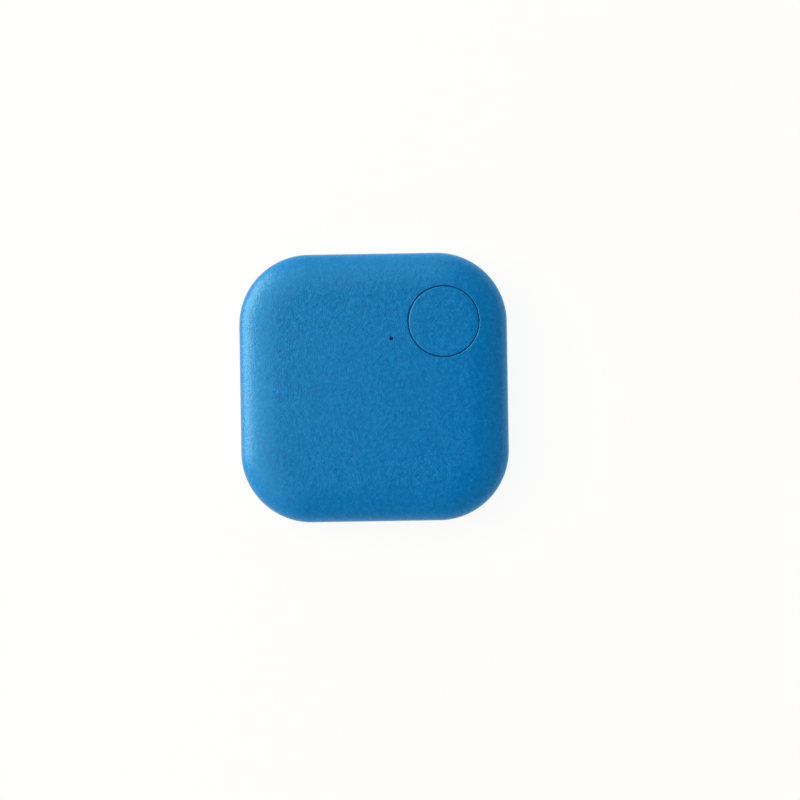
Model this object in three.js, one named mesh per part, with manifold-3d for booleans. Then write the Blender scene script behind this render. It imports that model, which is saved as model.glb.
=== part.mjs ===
// A square radio tag for finding keys and bags, built as it comes apart on a bench.
// It lies on its rear face: X runs to the right and Y up as the front is seen, Z out of the front face,
// and the origin is the middle of the rear face. All lengths are in millimetres.
import * as THREE from 'three';
import { mergeVertices } from 'three/addons/utils/BufferGeometryUtils.js';
import Module from 'manifold-3d';

const wasm = await Module();
wasm.setup();

// Counts, angles and allowances used by every piece
const quarterTurn = Math.PI / 2;
const degree = Math.PI / 180;
const cornerSteps = 10;
const sideSteps = 4;
const roundSteps = 6;
const largeRound = 48;
const smallRound = 24;
const overrun = 0.5;
const sink = 0.3;

// Outer case: its side is what it holds, from the left wall over the cell and the board to the right wall
const cornerRadius = 9.7;
const partingHeight = 2.8;
const sideWall = 1.2;
const frontWall = 0.9;
const rearWall = 0.9;
const shoulderWidth = 3.6;
const shoulderHeight = 2.4;
const crownRise = 0.25;
const crownRingShares = [0.8, 0.55, 0.28];
const rearRoundWidth = 1.8;
const rearRoundHeight = 1.5;
const floorChamferWidth = 0.6;
const floorChamferHeight = 0.4;

// Tongue of the rear cover, its rebate in the front shell, and the snap beads between them
const tongueInset = 0.6;
const tongueThickness = 0.5;
const tongueHeight = 1.0;
const tongueGap = 0.1;
const tongueHeadroom = 0.15;
const beadLength = 8;
const beadHeight = 0.3;
const beadProud = 0.08;
const beadDrop = 0.2;
const grooveMargin = 0.05;
const grooveDepth = 0.1;

// Pry notch and lanyard passage of the rear cover
const pryWidth = 6;
const pryDepth = 0.5;
const pryHeight = 0.8;
const lanyardBarWidth = 1.95;
const lanyardBarHeight = 1.2;
const lanyardSlotWidth = 3.2;
const lanyardSlotLength = 1.4;
const lanyardSlotHeight = 1.1;
const lanyardWall = 0.8;
const lanyardAngle = 135 * degree;

// Coin cell, its foam pad and its tray
const cellRadius = 10;
const cellHeight = 3.2;
const cellSheet = 0.25;
const cellCapInset = 1.15;
const cellCapProud = 0.25;
const cellFit = 0.02;
const cellLipWidth = 0.75;
const gasketLap = 0.3;
const anodeHeight = 0.9;
const padRadius = 7;
const padThickness = 0.25;
const ringGap = 0.3;
const ringWall = 0.6;
const ringHeight = 0.9;
const trayGap = 0.15;
const trayWall = 0.85;
const trayRoom = 1.3;
const trayRise = 0.2;
const trayBoardGap = 0.15;
const lugAngles = [128 * degree, 12 * degree, -55 * degree];
const lugWidth = 2.4;
const lugThickness = 0.6;
const pegReach = 1.2;
const pegRadius = 0.5;
const pegFit = 0.1;
const pegHeadRadius = 0.8;
const pegHeadHeight = 0.25;

// Battery contacts
const contactSheet = 0.15;
const positiveAngle = 45 * degree;
const positiveWidth = 3.0;
const positiveGap = 0.1;
const positiveDepth = 1.5;
const positiveFoot = 2.3;
const negativeAngle = -15 * degree;
const negativeWidth = 2.6;
const negativeGap = 0.02;
const negativeFoot = 2.2;
const negativeStart = 3.0;
const contactNotchRoom = 0.3;

// Sounder: a ceramic disc on a brass plate, taped to a rim under the front wall
const rimHeight = 0.35;
const tapeThickness = 0.05;
const sounderRadius = 6;
const sounderThickness = 0.15;
const ceramicInset = 1.5;
const ceramicThickness = 0.12;
const seatWidth = 0.7;
const sounderRoom = 0.3;
const sounderAngle = 210 * degree;
const sounderClearance = 0.16;
const outletRadius = 0.27;
const outletInset = 0.55;
const outletAngle = 49.7 * degree;
const leadRadius = 0.2;
const leadGap = 0.04;
const leadRun = 4.4;
const leadSteps = 12;
const leadSides = 8;

// Button
const buttonFromRight = 8.784;
const buttonFromTop = 9.583;
const buttonRadius = 4.79;
const buttonGap = 0.2;
const buttonTravel = 0.25;
const flangeLap = 0.61;
const flangeThickness = 0.35;
const flangeGap = 0.05;
const buttonFace = 0.8;
const buttonWall = 0.8;
const pipRadius = 1.0;
const pressGap = 0.03;
const keyAngles = [120 * degree, 300 * degree];
const keyWidth = 0.9;
const keyGap = 0.2;
const keyDepth = 0.35;
const keyLength = 0.8;
const buttonRingShares = [0.66, 0.33];

// Snap dome switch under the button
const switchSide = 5.2;
const switchHeight = 0.7;
const switchFloor = 0.15;
const wellRadius = 1.9;
const wellRoom = 0.1;
const domeSheet = 0.06;
const domeRise = 0.2;
const plungerFlange = 1.5;
const plungerRadius = 1.15;
const plungerProud = 0.2;
const plungerFit = 0.1;
const switchFit = 0.02;
const plateThickness = 0.15;
const skirtLength = 4.0;
const skirtLift = 0.05;

// Circuit board, with a band beside the cell where its parts stand, and its three screws
const boardBand = 10.55;
const boardThickness = 0.8;
const boardInset = 1.8;
const bossLength = 1.65;
const bossRadius = 1.3;
const bossRoom = 1.3;
const hornRoom = 4;
const blockGap = 0.5;
const cellScrewAngles = [-36 * degree, 105 * degree];
const buttonScrewAngle = -60 * degree;
const screwRadius = 0.55;
const screwFit = 0.05;
const screwLength = 2.15;
const screwTip = 0.25;
const screwHeadRadius = 1.1;
const screwHeadHeight = 0.5;
const screwHeadRound = 0.15;
const boardHoleFit = 0.15;
const pilotRoom = 0.1;
const recessLength = 1.3;
const recessWidth = 0.3;
const recessDepth = 0.25;

// Parts soldered to the rear of the board, and the printed aerial
const solderGap = 0.03;
const aerialThickness = 0.05;
const aerialTrace = 0.5;
const aerialPitch = 1.25;
const aerialLegs = 9;
const aerialDepth = 2.4;
const aerialEdge = 0.7;
const aerialStartShare = -0.583;
const partGap = 0.3;
const radioChipSide = 6;
const radioChipHeight = 0.85;
const radioChipCorner = 0.3;
const radioCrystal = { length: 2.5, width: 2.0, height: 0.6 };
const watchCrystal = { length: 3.2, width: 1.5, height: 0.8 };
const crystalGap = 0.8;
const crystalLidInset = 0.12;
const crystalBaseShare = 0.55;
const boostCoilSide = 3;
const boostCoilHeight = 1.5;
const boostCoilCorner = 0.5;
const boostCoilDish = 0.9;
const boostCoilDishDepth = 0.2;
const driver = { length: 2.9, width: 1.3, height: 1.0 };
const driverLegWidth = 0.4;
const driverLegReach = 0.5;
const driverLegSheet = 0.15;
const driverLegPitch = 0.95;
const diode = { length: 1.7, width: 1.25, height: 0.8 };
const reservoir = { length: 3.2, width: 1.6, height: 1.6 };
const smallCapacitor = { length: 1.6, width: 0.8, height: 0.8 };
const resistor = { length: 1.0, width: 0.5, height: 0.35 };
const matchingCoil = { length: 1.0, width: 0.5, height: 0.5 };
const terminalLengthShare = 0.22;
const terminalProud = 0.02;

// Places on the board, across and up: 0 to 1 runs over the band beside the cell, 0 to -1 back over its tray
const radioChipShares = [0.488, -0.484];
const boostCoilShares = [0.526, 0.128];
const driverShares = [0, 0.412];
const diodeShares = [0.194, -0.07];
const reservoirShares = [0.289, 0.668];
const capacitorShares = [[-0.134, 0.194], [0.308, -0.27], [-0.166, 0.479], [-0.461, 0.422]];
const resistorShares = [
  [0.081, -0.207], [0.479, -0.102], [-0.034, 0.1], [-0.589, 0.541], [0.611, -0.825], [0.327, -0.88],
];
const matchingCoilShares = [[0, 0.801], [0, 0.668]];

// Heights worked out from the stack: rear wall, pad, cell, contact, sounder, front wall
const padTop = rearWall + padThickness;
const cellTop = padTop + cellHeight;
const contactTop = cellTop + negativeGap + contactSheet;
const ceramicBottom = contactTop + sounderClearance;
const ceramicTop = ceramicBottom + ceramicThickness;
const sounderTop = ceramicTop + sounderThickness;
const rimBottom = sounderTop + tapeThickness;
const ceiling = rimBottom + rimHeight;
const shoulderTop = ceiling + frontWall;
const wallTop = shoulderTop - shoulderHeight;
const flangeTop = ceiling - flangeGap;
const flangeBottom = flangeTop - flangeThickness;
const boardFront = ceiling - bossLength;
const boardRear = boardFront - boardThickness;
const plungerTop = boardFront + switchHeight + plateThickness + plungerProud;
const tongueInner = tongueInset + tongueThickness;
const tongueTop = partingHeight + tongueHeight;

// Places seen from the front
const trayInner = cellRadius + trayGap;
const trayOuter = trayInner + trayWall;
const side = sideWall + trayRoom + 2 * trayOuter + trayBoardGap + boardBand + boardInset;
const half = side / 2;
const cellCentre = -(half - sideWall - trayRoom - trayOuter);
const bandStart = cellCentre + trayOuter + trayBoardGap;
const boardHalf = half - boardInset;
const buttonX = half - buttonFromRight;
const buttonY = half - buttonFromTop;
const coreRadius = buttonRadius - buttonWall;
const holeRadius = buttonRadius + buttonGap;
const flangeRadius = holeRadius + flangeLap;
const sounderDistance = flangeRadius + sounderRadius + sounderRoom;
const sounderX = buttonX + sounderDistance * Math.cos(sounderAngle);
const sounderY = buttonY + sounderDistance * Math.sin(sounderAngle);
const chamberRadius = sounderRadius - seatWidth;
const ceramicRadius = sounderRadius - ceramicInset;
const cornerReach = (half - cornerRadius) * Math.SQRT2 + cornerRadius;
const lanyardSlotEnd = cornerReach - lanyardBarWidth;
const lanyardSlotStart = lanyardSlotEnd - lanyardSlotLength;
const bossReach = bossRadius + bossRoom;
const screwPlaces = [
  ...cellScrewAngles.map((angle) => polar(cellCentre, cellCentre, trayOuter + bossReach, angle)),
  polar(buttonX, buttonY, flangeRadius + bossReach, buttonScrewAngle),
];
const pegPlaces = lugAngles.map((angle) => polar(0, 0, trayOuter + pegReach, angle));

// A place on the board, across or up, from its share
function along(share) {
  return bandStart + share * (share > 0 ? boardBand : 2 * trayOuter);
}

// A point at a distance and an angle from another
function polar(x, y, distance, angle) {
  return [x + distance * Math.cos(angle), y + distance * Math.sin(angle)];
}

// Turns a closed three.js geometry into a solid that can be joined and cut
function solid(geometry) {
  const bare = geometry.clone();
  bare.deleteAttribute('normal');
  bare.deleteAttribute('uv');
  const merged = mergeVertices(bare);
  const vertProperties = new Float32Array(merged.attributes.position.array);
  const triVerts = new Uint32Array(merged.index.array);
  return new wasm.Manifold(new wasm.Mesh({ numProp: 3, vertProperties, triVerts }));
}

// Gives the triangles of a solid back as a three.js geometry
function skin(body) {
  const { vertProperties, triVerts } = body.getMesh();
  const geometry = new THREE.BufferGeometry();
  geometry.setAttribute('position', new THREE.BufferAttribute(vertProperties, 3));
  geometry.setIndex(new THREE.BufferAttribute(triVerts, 1));
  return geometry;
}

// Joins the first geometry to the added ones, then takes the cut ones away
function carve(first, added, cut) {
  let body = solid(first);
  for (const more of added) {
    body = body.add(solid(more));
  }
  for (const less of cut) {
    body = body.subtract(solid(less));
  }
  return skin(body);
}

// Spins a closed profile of [radius, height] points about the Z axis; it runs outwards, then up
function turned(profile, steps = smallRound) {
  const points = profile.map(([radius, height]) => new THREE.Vector2(radius, height));
  return new THREE.LatheGeometry(points, steps).rotateX(quarterTurn);
}

// A disc, and a tube, standing between two heights
function disc(radius, bottom, top, steps) {
  return turned([[0, bottom], [radius, bottom], [radius, top], [0, top]], steps);
}

function tube(inner, outer, bottom, top, steps) {
  return turned([[inner, bottom], [outer, bottom], [outer, top], [inner, top], [inner, bottom]], steps);
}

// A block between two corners
function block(x0, x1, y0, y1, z0, z1) {
  const box = new THREE.BoxGeometry(x1 - x0, y1 - y0, z1 - z0);
  return box.translate((x0 + x1) / 2, (y0 + y1) / 2, (z0 + z1) / 2);
}

// A block that reaches from one radius to another at an angle about the Z axis
function spoke(angle, inner, outer, width, bottom, top) {
  return block(inner, outer, -width / 2, width / 2, bottom, top).rotateZ(angle);
}

// A flat outline pushed up between two heights
function prism(shape, bottom, top) {
  const settings = { depth: top - bottom, bevelEnabled: false, curveSegments: cornerSteps };
  return new THREE.ExtrudeGeometry(shape, settings).translate(0, 0, bottom);
}

// A square with rounded corners, or with cut ones when it has one step a corner
function roundedSquare(halfSide, radius) {
  const straight = halfSide - radius;
  const shape = new THREE.Shape();
  shape.absarc(straight, straight, radius, 0, quarterTurn);
  shape.absarc(-straight, straight, radius, quarterTurn, 2 * quarterTurn);
  shape.absarc(-straight, -straight, radius, 2 * quarterTurn, 3 * quarterTurn);
  shape.absarc(straight, -straight, radius, 3 * quarterTurn, 4 * quarterTurn);
  return shape;
}

function cutSquare(halfSide, cut) {
  const near = halfSide - cut;
  return new THREE.Shape([
    new THREE.Vector2(halfSide, -near), new THREE.Vector2(halfSide, near),
    new THREE.Vector2(near, halfSide), new THREE.Vector2(-near, halfSide),
    new THREE.Vector2(-halfSide, near), new THREE.Vector2(-halfSide, -near),
    new THREE.Vector2(-near, -halfSide), new THREE.Vector2(near, -halfSide),
  ]);
}

// One turn of points round the case, drawn in from its outline; height is a number or a function of place
function caseRing(inset, height) {
  const reach = half - cornerRadius;
  const radius = cornerRadius - inset;
  const corners = [[reach, reach], [-reach, reach], [-reach, -reach], [reach, -reach]];
  const flat = [];
  corners.forEach(([x, y], quarter) => {
    for (let step = 0; step <= cornerSteps; step += 1) {
      flat.push(polar(x, y, radius, (quarter + step / cornerSteps) * quarterTurn));
    }
    const [nextX, nextY] = corners[(quarter + 1) % corners.length];
    for (let step = 1; step < sideSteps; step += 1) {
      const share = step / sideSteps;
      const middle = [x + (nextX - x) * share, y + (nextY - y) * share];
      flat.push(polar(...middle, radius, (quarter + 1) * quarterTurn));
    }
  });
  return flat.map(([x, y]) => raised(x, y, height));
}

// One turn of points on a circle
function roundRing(radius, height, steps) {
  const ring = [];
  for (let step = 0; step < steps; step += 1) {
    const [x, y] = polar(0, 0, radius, (4 * quarterTurn * step) / steps);
    ring.push(raised(x, y, height));
  }
  return ring;
}

function raised(x, y, height) {
  return [x, y, typeof height === 'function' ? height(x, y) : height];
}

// Joins rings, the lowest first, into one closed skin whose ends are closed by fans
function loft(rings, topHeight) {
  const count = rings[0].length;
  const points = rings.flat();
  const lastStart = count * (rings.length - 1);
  const bottomMiddle = points.push([0, 0, rings[0][0][2]]) - 1;
  const topMiddle = points.push([0, 0, topHeight]) - 1;
  const faces = [];
  for (let index = 0; index < count; index += 1) {
    const next = (index + 1) % count;
    for (let start = 0; start < lastStart; start += count) {
      const a = start + index;
      const b = start + next;
      faces.push(a, b, b + count, a, b + count, a + count);
    }
    faces.push(bottomMiddle, next, index, topMiddle, lastStart + index, lastStart + next);
  }
  const geometry = new THREE.BufferGeometry();
  geometry.setAttribute('position', new THREE.Float32BufferAttribute(points.flat(), 3));
  geometry.setIndex(faces);
  return geometry;
}

// How far the front face stands out: a slight crown, carried down over the shoulder to the side wall
function crown(x, y) {
  return crownRise * (1 - (x / half) ** 2) * (1 - (y / half) ** 2);
}

function faceHeight(x, y) {
  return shoulderTop + crown(x, y);
}

function shoulderRing(turn) {
  const inset = shoulderWidth * (1 - Math.cos(turn));
  return caseRing(inset, (x, y) => wallTop + (shoulderHeight + crown(x, y)) * Math.sin(turn));
}

// Steps of a quarter turn, from just after its start to its end
function quarterSteps(count) {
  return Array.from({ length: count }, (unused, index) => ((index + 1) / count) * quarterTurn);
}

// Front shell
function frontShellGeometry() {
  const edge = caseRing(shoulderWidth, faceHeight);
  const outside = loft([
    caseRing(0, partingHeight),
    caseRing(0, wallTop),
    ...quarterSteps(roundSteps).map(shoulderRing),
    ...crownRingShares.map((share) => edge.map(([x, y]) => raised(x * share, y * share, faceHeight))),
  ], faceHeight(0, 0));

  const rebateTop = tongueTop + tongueHeadroom;
  const rebateInset = tongueInset - tongueGap;
  const roundWidth = shoulderWidth - sideWall;
  const inside = loft([
    caseRing(rebateInset, partingHeight - overrun),
    caseRing(rebateInset, rebateTop),
    caseRing(sideWall, rebateTop),
    ...quarterSteps(roundSteps).map((turn) => caseRing(
      sideWall + roundWidth * (1 - Math.cos(turn)),
      rebateTop + (ceiling - rebateTop) * Math.sin(turn),
    )),
  ], ceiling);

  const bosses = screwPlaces.map(([x, y]) => (
    disc(bossRadius, boardFront, ceiling + sink).translate(x, y, 0)));
  const pilots = screwPlaces.map(([x, y]) => (
    disc(screwRadius + screwFit, boardFront - overrun, ceiling - pilotRoom).translate(x, y, 0)));
  const rim = tube(chamberRadius, sounderRadius, rimBottom, ceiling + sink, largeRound);
  const keys = keyAngles.map((angle) => spoke(
    angle,
    flangeRadius - keyDepth + keyGap,
    flangeRadius + keyLength,
    keyWidth,
    flangeBottom - buttonTravel,
    ceiling + sink,
  ).translate(buttonX, buttonY, 0));
  const hole = disc(holeRadius, boardFront, shoulderTop + crownRise + overrun, largeRound);
  const [outletX, outletY] = polar(sounderX, sounderY, chamberRadius - outletInset, outletAngle);
  const outlet = disc(outletRadius, rimBottom, shoulderTop + crownRise + overrun);
  return carve(
    skin(solid(outside).subtract(solid(inside))),
    [...bosses, rim.translate(sounderX, sounderY, 0), ...keys],
    [...pilots, ...grooves(), hole.translate(buttonX, buttonY, 0), outlet.translate(outletX, outletY, 0)],
  );
}

// Snap beads on the outside of the tongue, one a side, and the grooves that they click into
function beads() {
  const face = half - tongueInset;
  const top = tongueTop - beadDrop;
  return [0, 1, 2, 3].map((quarter) => spoke(
    quarter * quarterTurn, face - sink, face + beadProud, beadLength, top - beadHeight, top));
}

function grooves() {
  const face = half - tongueInset + tongueGap;
  const top = tongueTop - beadDrop + grooveMargin;
  const bottom = top - beadHeight - 2 * grooveMargin;
  return [0, 1, 2, 3].map((quarter) => spoke(
    quarter * quarterTurn, face - sink, face + grooveDepth, beadLength + 2 * grooveMargin, bottom, top));
}

// Rear cover
function rearCoverGeometry() {
  const outside = loft([
    caseRing(rearRoundWidth, 0),
    ...quarterSteps(roundSteps).map((turn) => caseRing(
      rearRoundWidth * (1 - Math.sin(turn)), rearRoundHeight * (1 - Math.cos(turn)))),
    caseRing(0, partingHeight),
    caseRing(tongueInset, partingHeight),
    caseRing(tongueInset, tongueTop),
  ], tongueTop);
  const inside = loft([
    caseRing(tongueInner + floorChamferWidth, rearWall),
    caseRing(tongueInner, rearWall + floorChamferHeight),
    caseRing(tongueInner, tongueTop + overrun),
  ], tongueTop + overrun);
  const ringInner = cellRadius + ringGap;
  const ring = tube(ringInner, ringInner + ringWall, rearWall - sink, rearWall + ringHeight, largeRound);
  const lanyardBlock = spoke(
    lanyardAngle,
    lanyardSlotStart - lanyardWall,
    cornerReach - tongueInner + sink,
    lanyardSlotWidth + 2 * lanyardWall,
    rearWall - sink,
    partingHeight,
  );
  const lanyardTop = lanyardBarHeight + lanyardSlotHeight;
  const lanyardRear = spoke(
    lanyardAngle, lanyardSlotStart, lanyardSlotEnd, lanyardSlotWidth, -overrun, lanyardTop);
  const lanyardSide = spoke(
    lanyardAngle, lanyardSlotStart, cornerReach + overrun, lanyardSlotWidth, lanyardBarHeight, lanyardTop);
  const pry = block(
    -pryWidth / 2, pryWidth / 2, -half - overrun, -half + pryDepth,
    partingHeight - pryHeight, partingHeight + overrun,
  );
  return carve(
    skin(solid(outside).subtract(solid(inside))),
    [ring.translate(cellCentre, cellCentre, 0), lanyardBlock, ...beads()],
    [lanyardRear, lanyardSide, pry],
  );
}

// Button cap, about its own centre: its face carries the crown of the shell on across the gap
function buttonCapGeometry() {
  const face = (x, y) => faceHeight(buttonX + x, buttonY + y);
  const coreTop = shoulderTop - buttonFace;
  const body = loft([
    roundRing(flangeRadius, flangeBottom, largeRound),
    roundRing(flangeRadius, flangeTop, largeRound),
    roundRing(buttonRadius, flangeTop, largeRound),
    roundRing(buttonRadius, face, largeRound),
    ...buttonRingShares.map((share) => roundRing(buttonRadius * share, face, largeRound)),
  ], face(0, 0));
  const hollow = skin(solid(body).subtract(solid(
    disc(coreRadius, flangeBottom - overrun, coreTop, largeRound))));
  const pip = disc(pipRadius, plungerTop + pressGap, coreTop + sink);
  const keyways = keyAngles.map((angle) => spoke(
    angle,
    flangeRadius - keyDepth,
    flangeRadius + overrun,
    keyWidth + 2 * keyGap,
    flangeBottom - overrun,
    flangeTop + pressGap,
  ));
  return carve(hollow, [pip], keyways);
}

// Snap dome switch, standing on the front of the board
const switchHalf = switchSide / 2;
const domeBottom = switchFloor + switchFit;
const domeTop = domeBottom + domeSheet + domeRise;

function switchBaseGeometry() {
  const body = block(-switchHalf, switchHalf, -switchHalf, switchHalf, 0, switchHeight);
  return carve(body, [], [disc(wellRadius, switchFloor, switchHeight + overrun)]);
}

function switchDomeGeometry() {
  const radius = wellRadius - wellRoom;
  const under = [];
  const over = [];
  for (let step = 0; step <= roundSteps; step += 1) {
    const share = step / roundSteps;
    const height = domeBottom + domeRise * (1 - share * share);
    under.push([radius * share, height]);
    over.unshift([radius * share, height + domeSheet]);
  }
  return turned([...under, ...over]);
}

function switchPlungerGeometry() {
  const bottom = domeTop + switchFit;
  const flange = switchHeight - switchFit;
  const top = plungerTop - boardFront;
  return turned([
    [0, bottom], [plungerFlange, bottom], [plungerFlange, flange],
    [plungerRadius, flange], [plungerRadius, top], [0, top],
  ]);
}

function switchPlateGeometry() {
  const top = switchHeight + plateThickness;
  const wide = switchHalf + plateThickness;
  const sheet = block(-wide, wide, -switchHalf, switchHalf, switchHeight, top);
  const skirts = [-wide, switchHalf].map((x) => block(
    x, x + plateThickness, -skirtLength / 2, skirtLength / 2, skirtLift, top));
  const hole = disc(plungerRadius + plungerFit, switchHeight - overrun, top + overrun);
  return carve(sheet, skirts, [hole]);
}

// Coin cell, standing on its can: can, gasket, cap, and the two electrodes inside
const cellCapRadius = cellRadius - cellCapInset;
const capTop = cellHeight;
const lipTop = cellHeight - cellCapProud;
const skirtBottom = cellSheet + 2 * cellFit + cellSheet;

function cellCanGeometry() {
  const inner = cellRadius - cellSheet;
  const lipInner = cellRadius - cellLipWidth;
  return turned([
    [0, 0], [cellRadius, 0], [cellRadius, lipTop], [lipInner, lipTop], [lipInner, lipTop - cellSheet],
    [inner, lipTop - cellSheet], [inner, cellSheet], [0, cellSheet],
  ], largeRound);
}

function cellGasketGeometry() {
  const outer = cellRadius - cellSheet - cellFit;
  const neck = cellRadius - cellLipWidth - cellFit;
  const inner = cellCapRadius + cellFit;
  const bottom = cellSheet + cellFit;
  const shelf = lipTop - cellSheet - cellFit;
  const foot = skirtBottom - cellFit;
  return turned([
    [inner - gasketLap, bottom], [outer, bottom], [outer, shelf], [neck, shelf], [neck, lipTop],
    [inner, lipTop], [inner, foot], [inner - gasketLap, foot], [inner - gasketLap, bottom],
  ], largeRound);
}

function cellCapGeometry() {
  const inner = cellCapRadius - cellSheet;
  const roof = capTop - cellSheet;
  return turned([
    [0, roof], [inner, roof], [inner, skirtBottom], [cellCapRadius, skirtBottom],
    [cellCapRadius, capTop], [0, capTop],
  ], largeRound);
}

function electrodeGeometry(bottom, top) {
  return disc(cellCapRadius - gasketLap, bottom, top, largeRound);
}

// Battery tray, about the middle of the cell: a ring with three lugs riveted through the board
function batteryTrayGeometry() {
  const bottom = rearWall + ringHeight + trayRise;
  const top = cellTop + contactSheet;
  const ring = tube(trayInner, trayOuter, bottom, top, largeRound);
  const lugs = lugAngles.map((angle) => spoke(
    angle,
    trayOuter - sink,
    trayOuter + pegReach + pegHeadRadius,
    lugWidth,
    boardFront,
    boardFront + lugThickness,
  ));
  const pegs = pegPlaces.map(([x, y]) => (
    disc(pegRadius, boardRear - sink / 2, boardFront + sink).translate(x, y, 0)));
  const heads = pegPlaces.map(([x, y]) => (
    disc(pegHeadRadius, boardRear - pegHeadHeight, boardRear).translate(x, y, 0)));
  const positiveNotch = spoke(
    positiveAngle,
    trayInner - overrun,
    trayOuter + overrun,
    positiveWidth + 2 * contactNotchRoom,
    bottom - overrun,
    boardFront + contactSheet + contactNotchRoom,
  );
  const negativeNotch = spoke(
    negativeAngle,
    trayInner - overrun,
    trayOuter + overrun,
    negativeWidth + 2 * contactNotchRoom,
    cellTop - contactNotchRoom,
    top + overrun,
  );
  return carve(ring, [...lugs, ...pegs, ...heads], [positiveNotch, negativeNotch]);
}

// A bent strip of sheet metal: its side outline in distance and height, swept across its width
function bentStrip(outline, width) {
  const shape = new THREE.Shape(outline.map(([x, y]) => new THREE.Vector2(x, y)));
  const settings = { depth: width, bevelEnabled: false };
  return new THREE.ExtrudeGeometry(shape, settings).rotateX(quarterTurn).translate(0, width / 2, 0);
}

function positiveContactGeometry() {
  const inner = cellRadius + positiveGap;
  const outer = inner + contactSheet;
  const foot = trayOuter + positiveFoot;
  const top = boardFront + contactSheet;
  return bentStrip([
    [inner, boardFront - positiveDepth], [outer, boardFront - positiveDepth], [outer, boardFront],
    [foot, boardFront], [foot, top], [inner, top],
  ], positiveWidth);
}

function negativeContactGeometry() {
  const riser = trayOuter + contactNotchRoom;
  const foot = riser + negativeFoot;
  const bottom = contactTop - contactSheet;
  return bentStrip([
    [negativeStart, bottom], [riser, bottom], [riser, boardFront], [foot, boardFront],
    [foot, boardFront + contactSheet], [riser + contactSheet, boardFront + contactSheet],
    [riser + contactSheet, contactTop], [negativeStart, contactTop],
  ], negativeWidth);
}

// Circuit board: the outline of the case drawn in, with a bay for the cell
function circuitBoardGeometry() {
  const sheet = prism(roundedSquare(boardHalf, cornerRadius - boardInset), boardRear, boardFront);
  const low = boardRear - overrun;
  const high = boardFront + overrun;
  const bay = disc(trayOuter + trayBoardGap, low, high, largeRound).translate(cellCentre, cellCentre, 0);
  const hornEnd = cellCentre + hornRoom;
  const open = block(-half, hornEnd, -half, hornEnd, low, high);
  const lanyardCut = spoke(
    lanyardAngle, lanyardSlotStart - lanyardWall - blockGap, cornerReach, side, low, high);
  const screwHoles = screwPlaces.map(([x, y]) => (
    disc(screwRadius + boardHoleFit, low, high).translate(x, y, 0)));
  const pegHoles = pegPlaces.map(([x, y]) => (
    disc(pegRadius + pegFit, low, high).translate(cellCentre + x, cellCentre + y, 0)));
  return carve(sheet, [], [bay, open, lanyardCut, ...screwHoles, ...pegHoles]);
}

// Screw, standing on its head, which bears on the rear of the board
function screwGeometry() {
  const low = boardRear - screwHeadHeight;
  const top = boardRear + screwLength;
  const body = turned([
    [0, low], [screwHeadRadius - screwHeadRound, low], [screwHeadRadius, low + screwHeadRound],
    [screwHeadRadius, boardRear], [screwRadius, boardRear], [screwRadius, top - screwTip],
    [screwRadius / 2, top], [0, top],
  ]);
  const recess = [0, quarterTurn].map((angle) => spoke(
    angle, -recessLength / 2, recessLength / 2, recessWidth, low - overrun, low + recessDepth));
  return carve(body, [], recess);
}

// Sounder lead: along the underside of the sounder, past its edge and down to the board
function leadGeometry(startRadius, underside, angle) {
  const level = underside - leadGap - leadRadius;
  const landing = boardFront + leadGap + leadRadius;
  const route = [
    [startRadius, level], [startRadius + leadRun / 4, level],
    [startRadius + (3 * leadRun) / 4, landing], [startRadius + leadRun, landing],
  ];
  const points = route.map(([radius, height]) => {
    const [x, y] = polar(0, 0, radius, angle);
    return new THREE.Vector3(x, y, height);
  });
  const section = new THREE.Shape();
  section.absarc(0, 0, leadRadius, 0, 4 * quarterTurn);
  return new THREE.ExtrudeGeometry(section, {
    steps: leadSteps,
    curveSegments: leadSides,
    extrudePath: new THREE.CatmullRomCurve3(points),
  });
}

// Printed aerial: a folded trace along the upper edge of the board
function aerialGeometry() {
  const top = boardHalf - aerialEdge;
  const low = top - aerialDepth;
  const start = along(aerialStartShare);
  const under = boardRear - aerialThickness;
  const bars = [];
  for (let leg = 0; leg < aerialLegs; leg += 1) {
    const x = start + leg * aerialPitch;
    bars.push(block(x, x + aerialTrace, low, top, under, boardRear));
    if (leg + 1 < aerialLegs) {
      const y = leg % 2 === 0 ? top - aerialTrace : low;
      bars.push(block(x, x + aerialPitch + aerialTrace, y, y + aerialTrace, under, boardRear));
    }
  }
  return carve(bars[0], bars.slice(1), []);
}

// Parts that hang under the board, drawn with their soldered face at height zero
function chipGeometry({ length, width, height }) {
  const bandHalf = (length / 2) * (1 - 2 * terminalLengthShare);
  const body = block(
    -length / 2 + terminalProud, length / 2 - terminalProud,
    -width / 2 + terminalProud, width / 2 - terminalProud, -height + terminalProud, -terminalProud);
  const ends = [[-length / 2, -bandHalf], [bandHalf, length / 2]].map(([from, to]) => (
    block(from, to, -width / 2, width / 2, -height, 0)));
  return carve(body, ends, []);
}

function crystalGeometry({ length, width, height }) {
  const base = height * crystalBaseShare;
  const lid = block(
    -length / 2 + crystalLidInset, length / 2 - crystalLidInset,
    -width / 2 + crystalLidInset, width / 2 - crystalLidInset, -height, -base / 2);
  return carve(block(-length / 2, length / 2, -width / 2, width / 2, -base, 0), [lid], []);
}

function boostCoilGeometry() {
  const body = prism(cutSquare(boostCoilSide / 2, boostCoilCorner), -boostCoilHeight, 0);
  const dish = disc(boostCoilDish, -boostCoilHeight - overrun, -boostCoilHeight + boostCoilDishDepth);
  return carve(body, [], [dish]);
}

function radioChipGeometry() {
  return prism(cutSquare(radioChipSide / 2, radioChipCorner), -radioChipHeight, 0);
}

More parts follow.
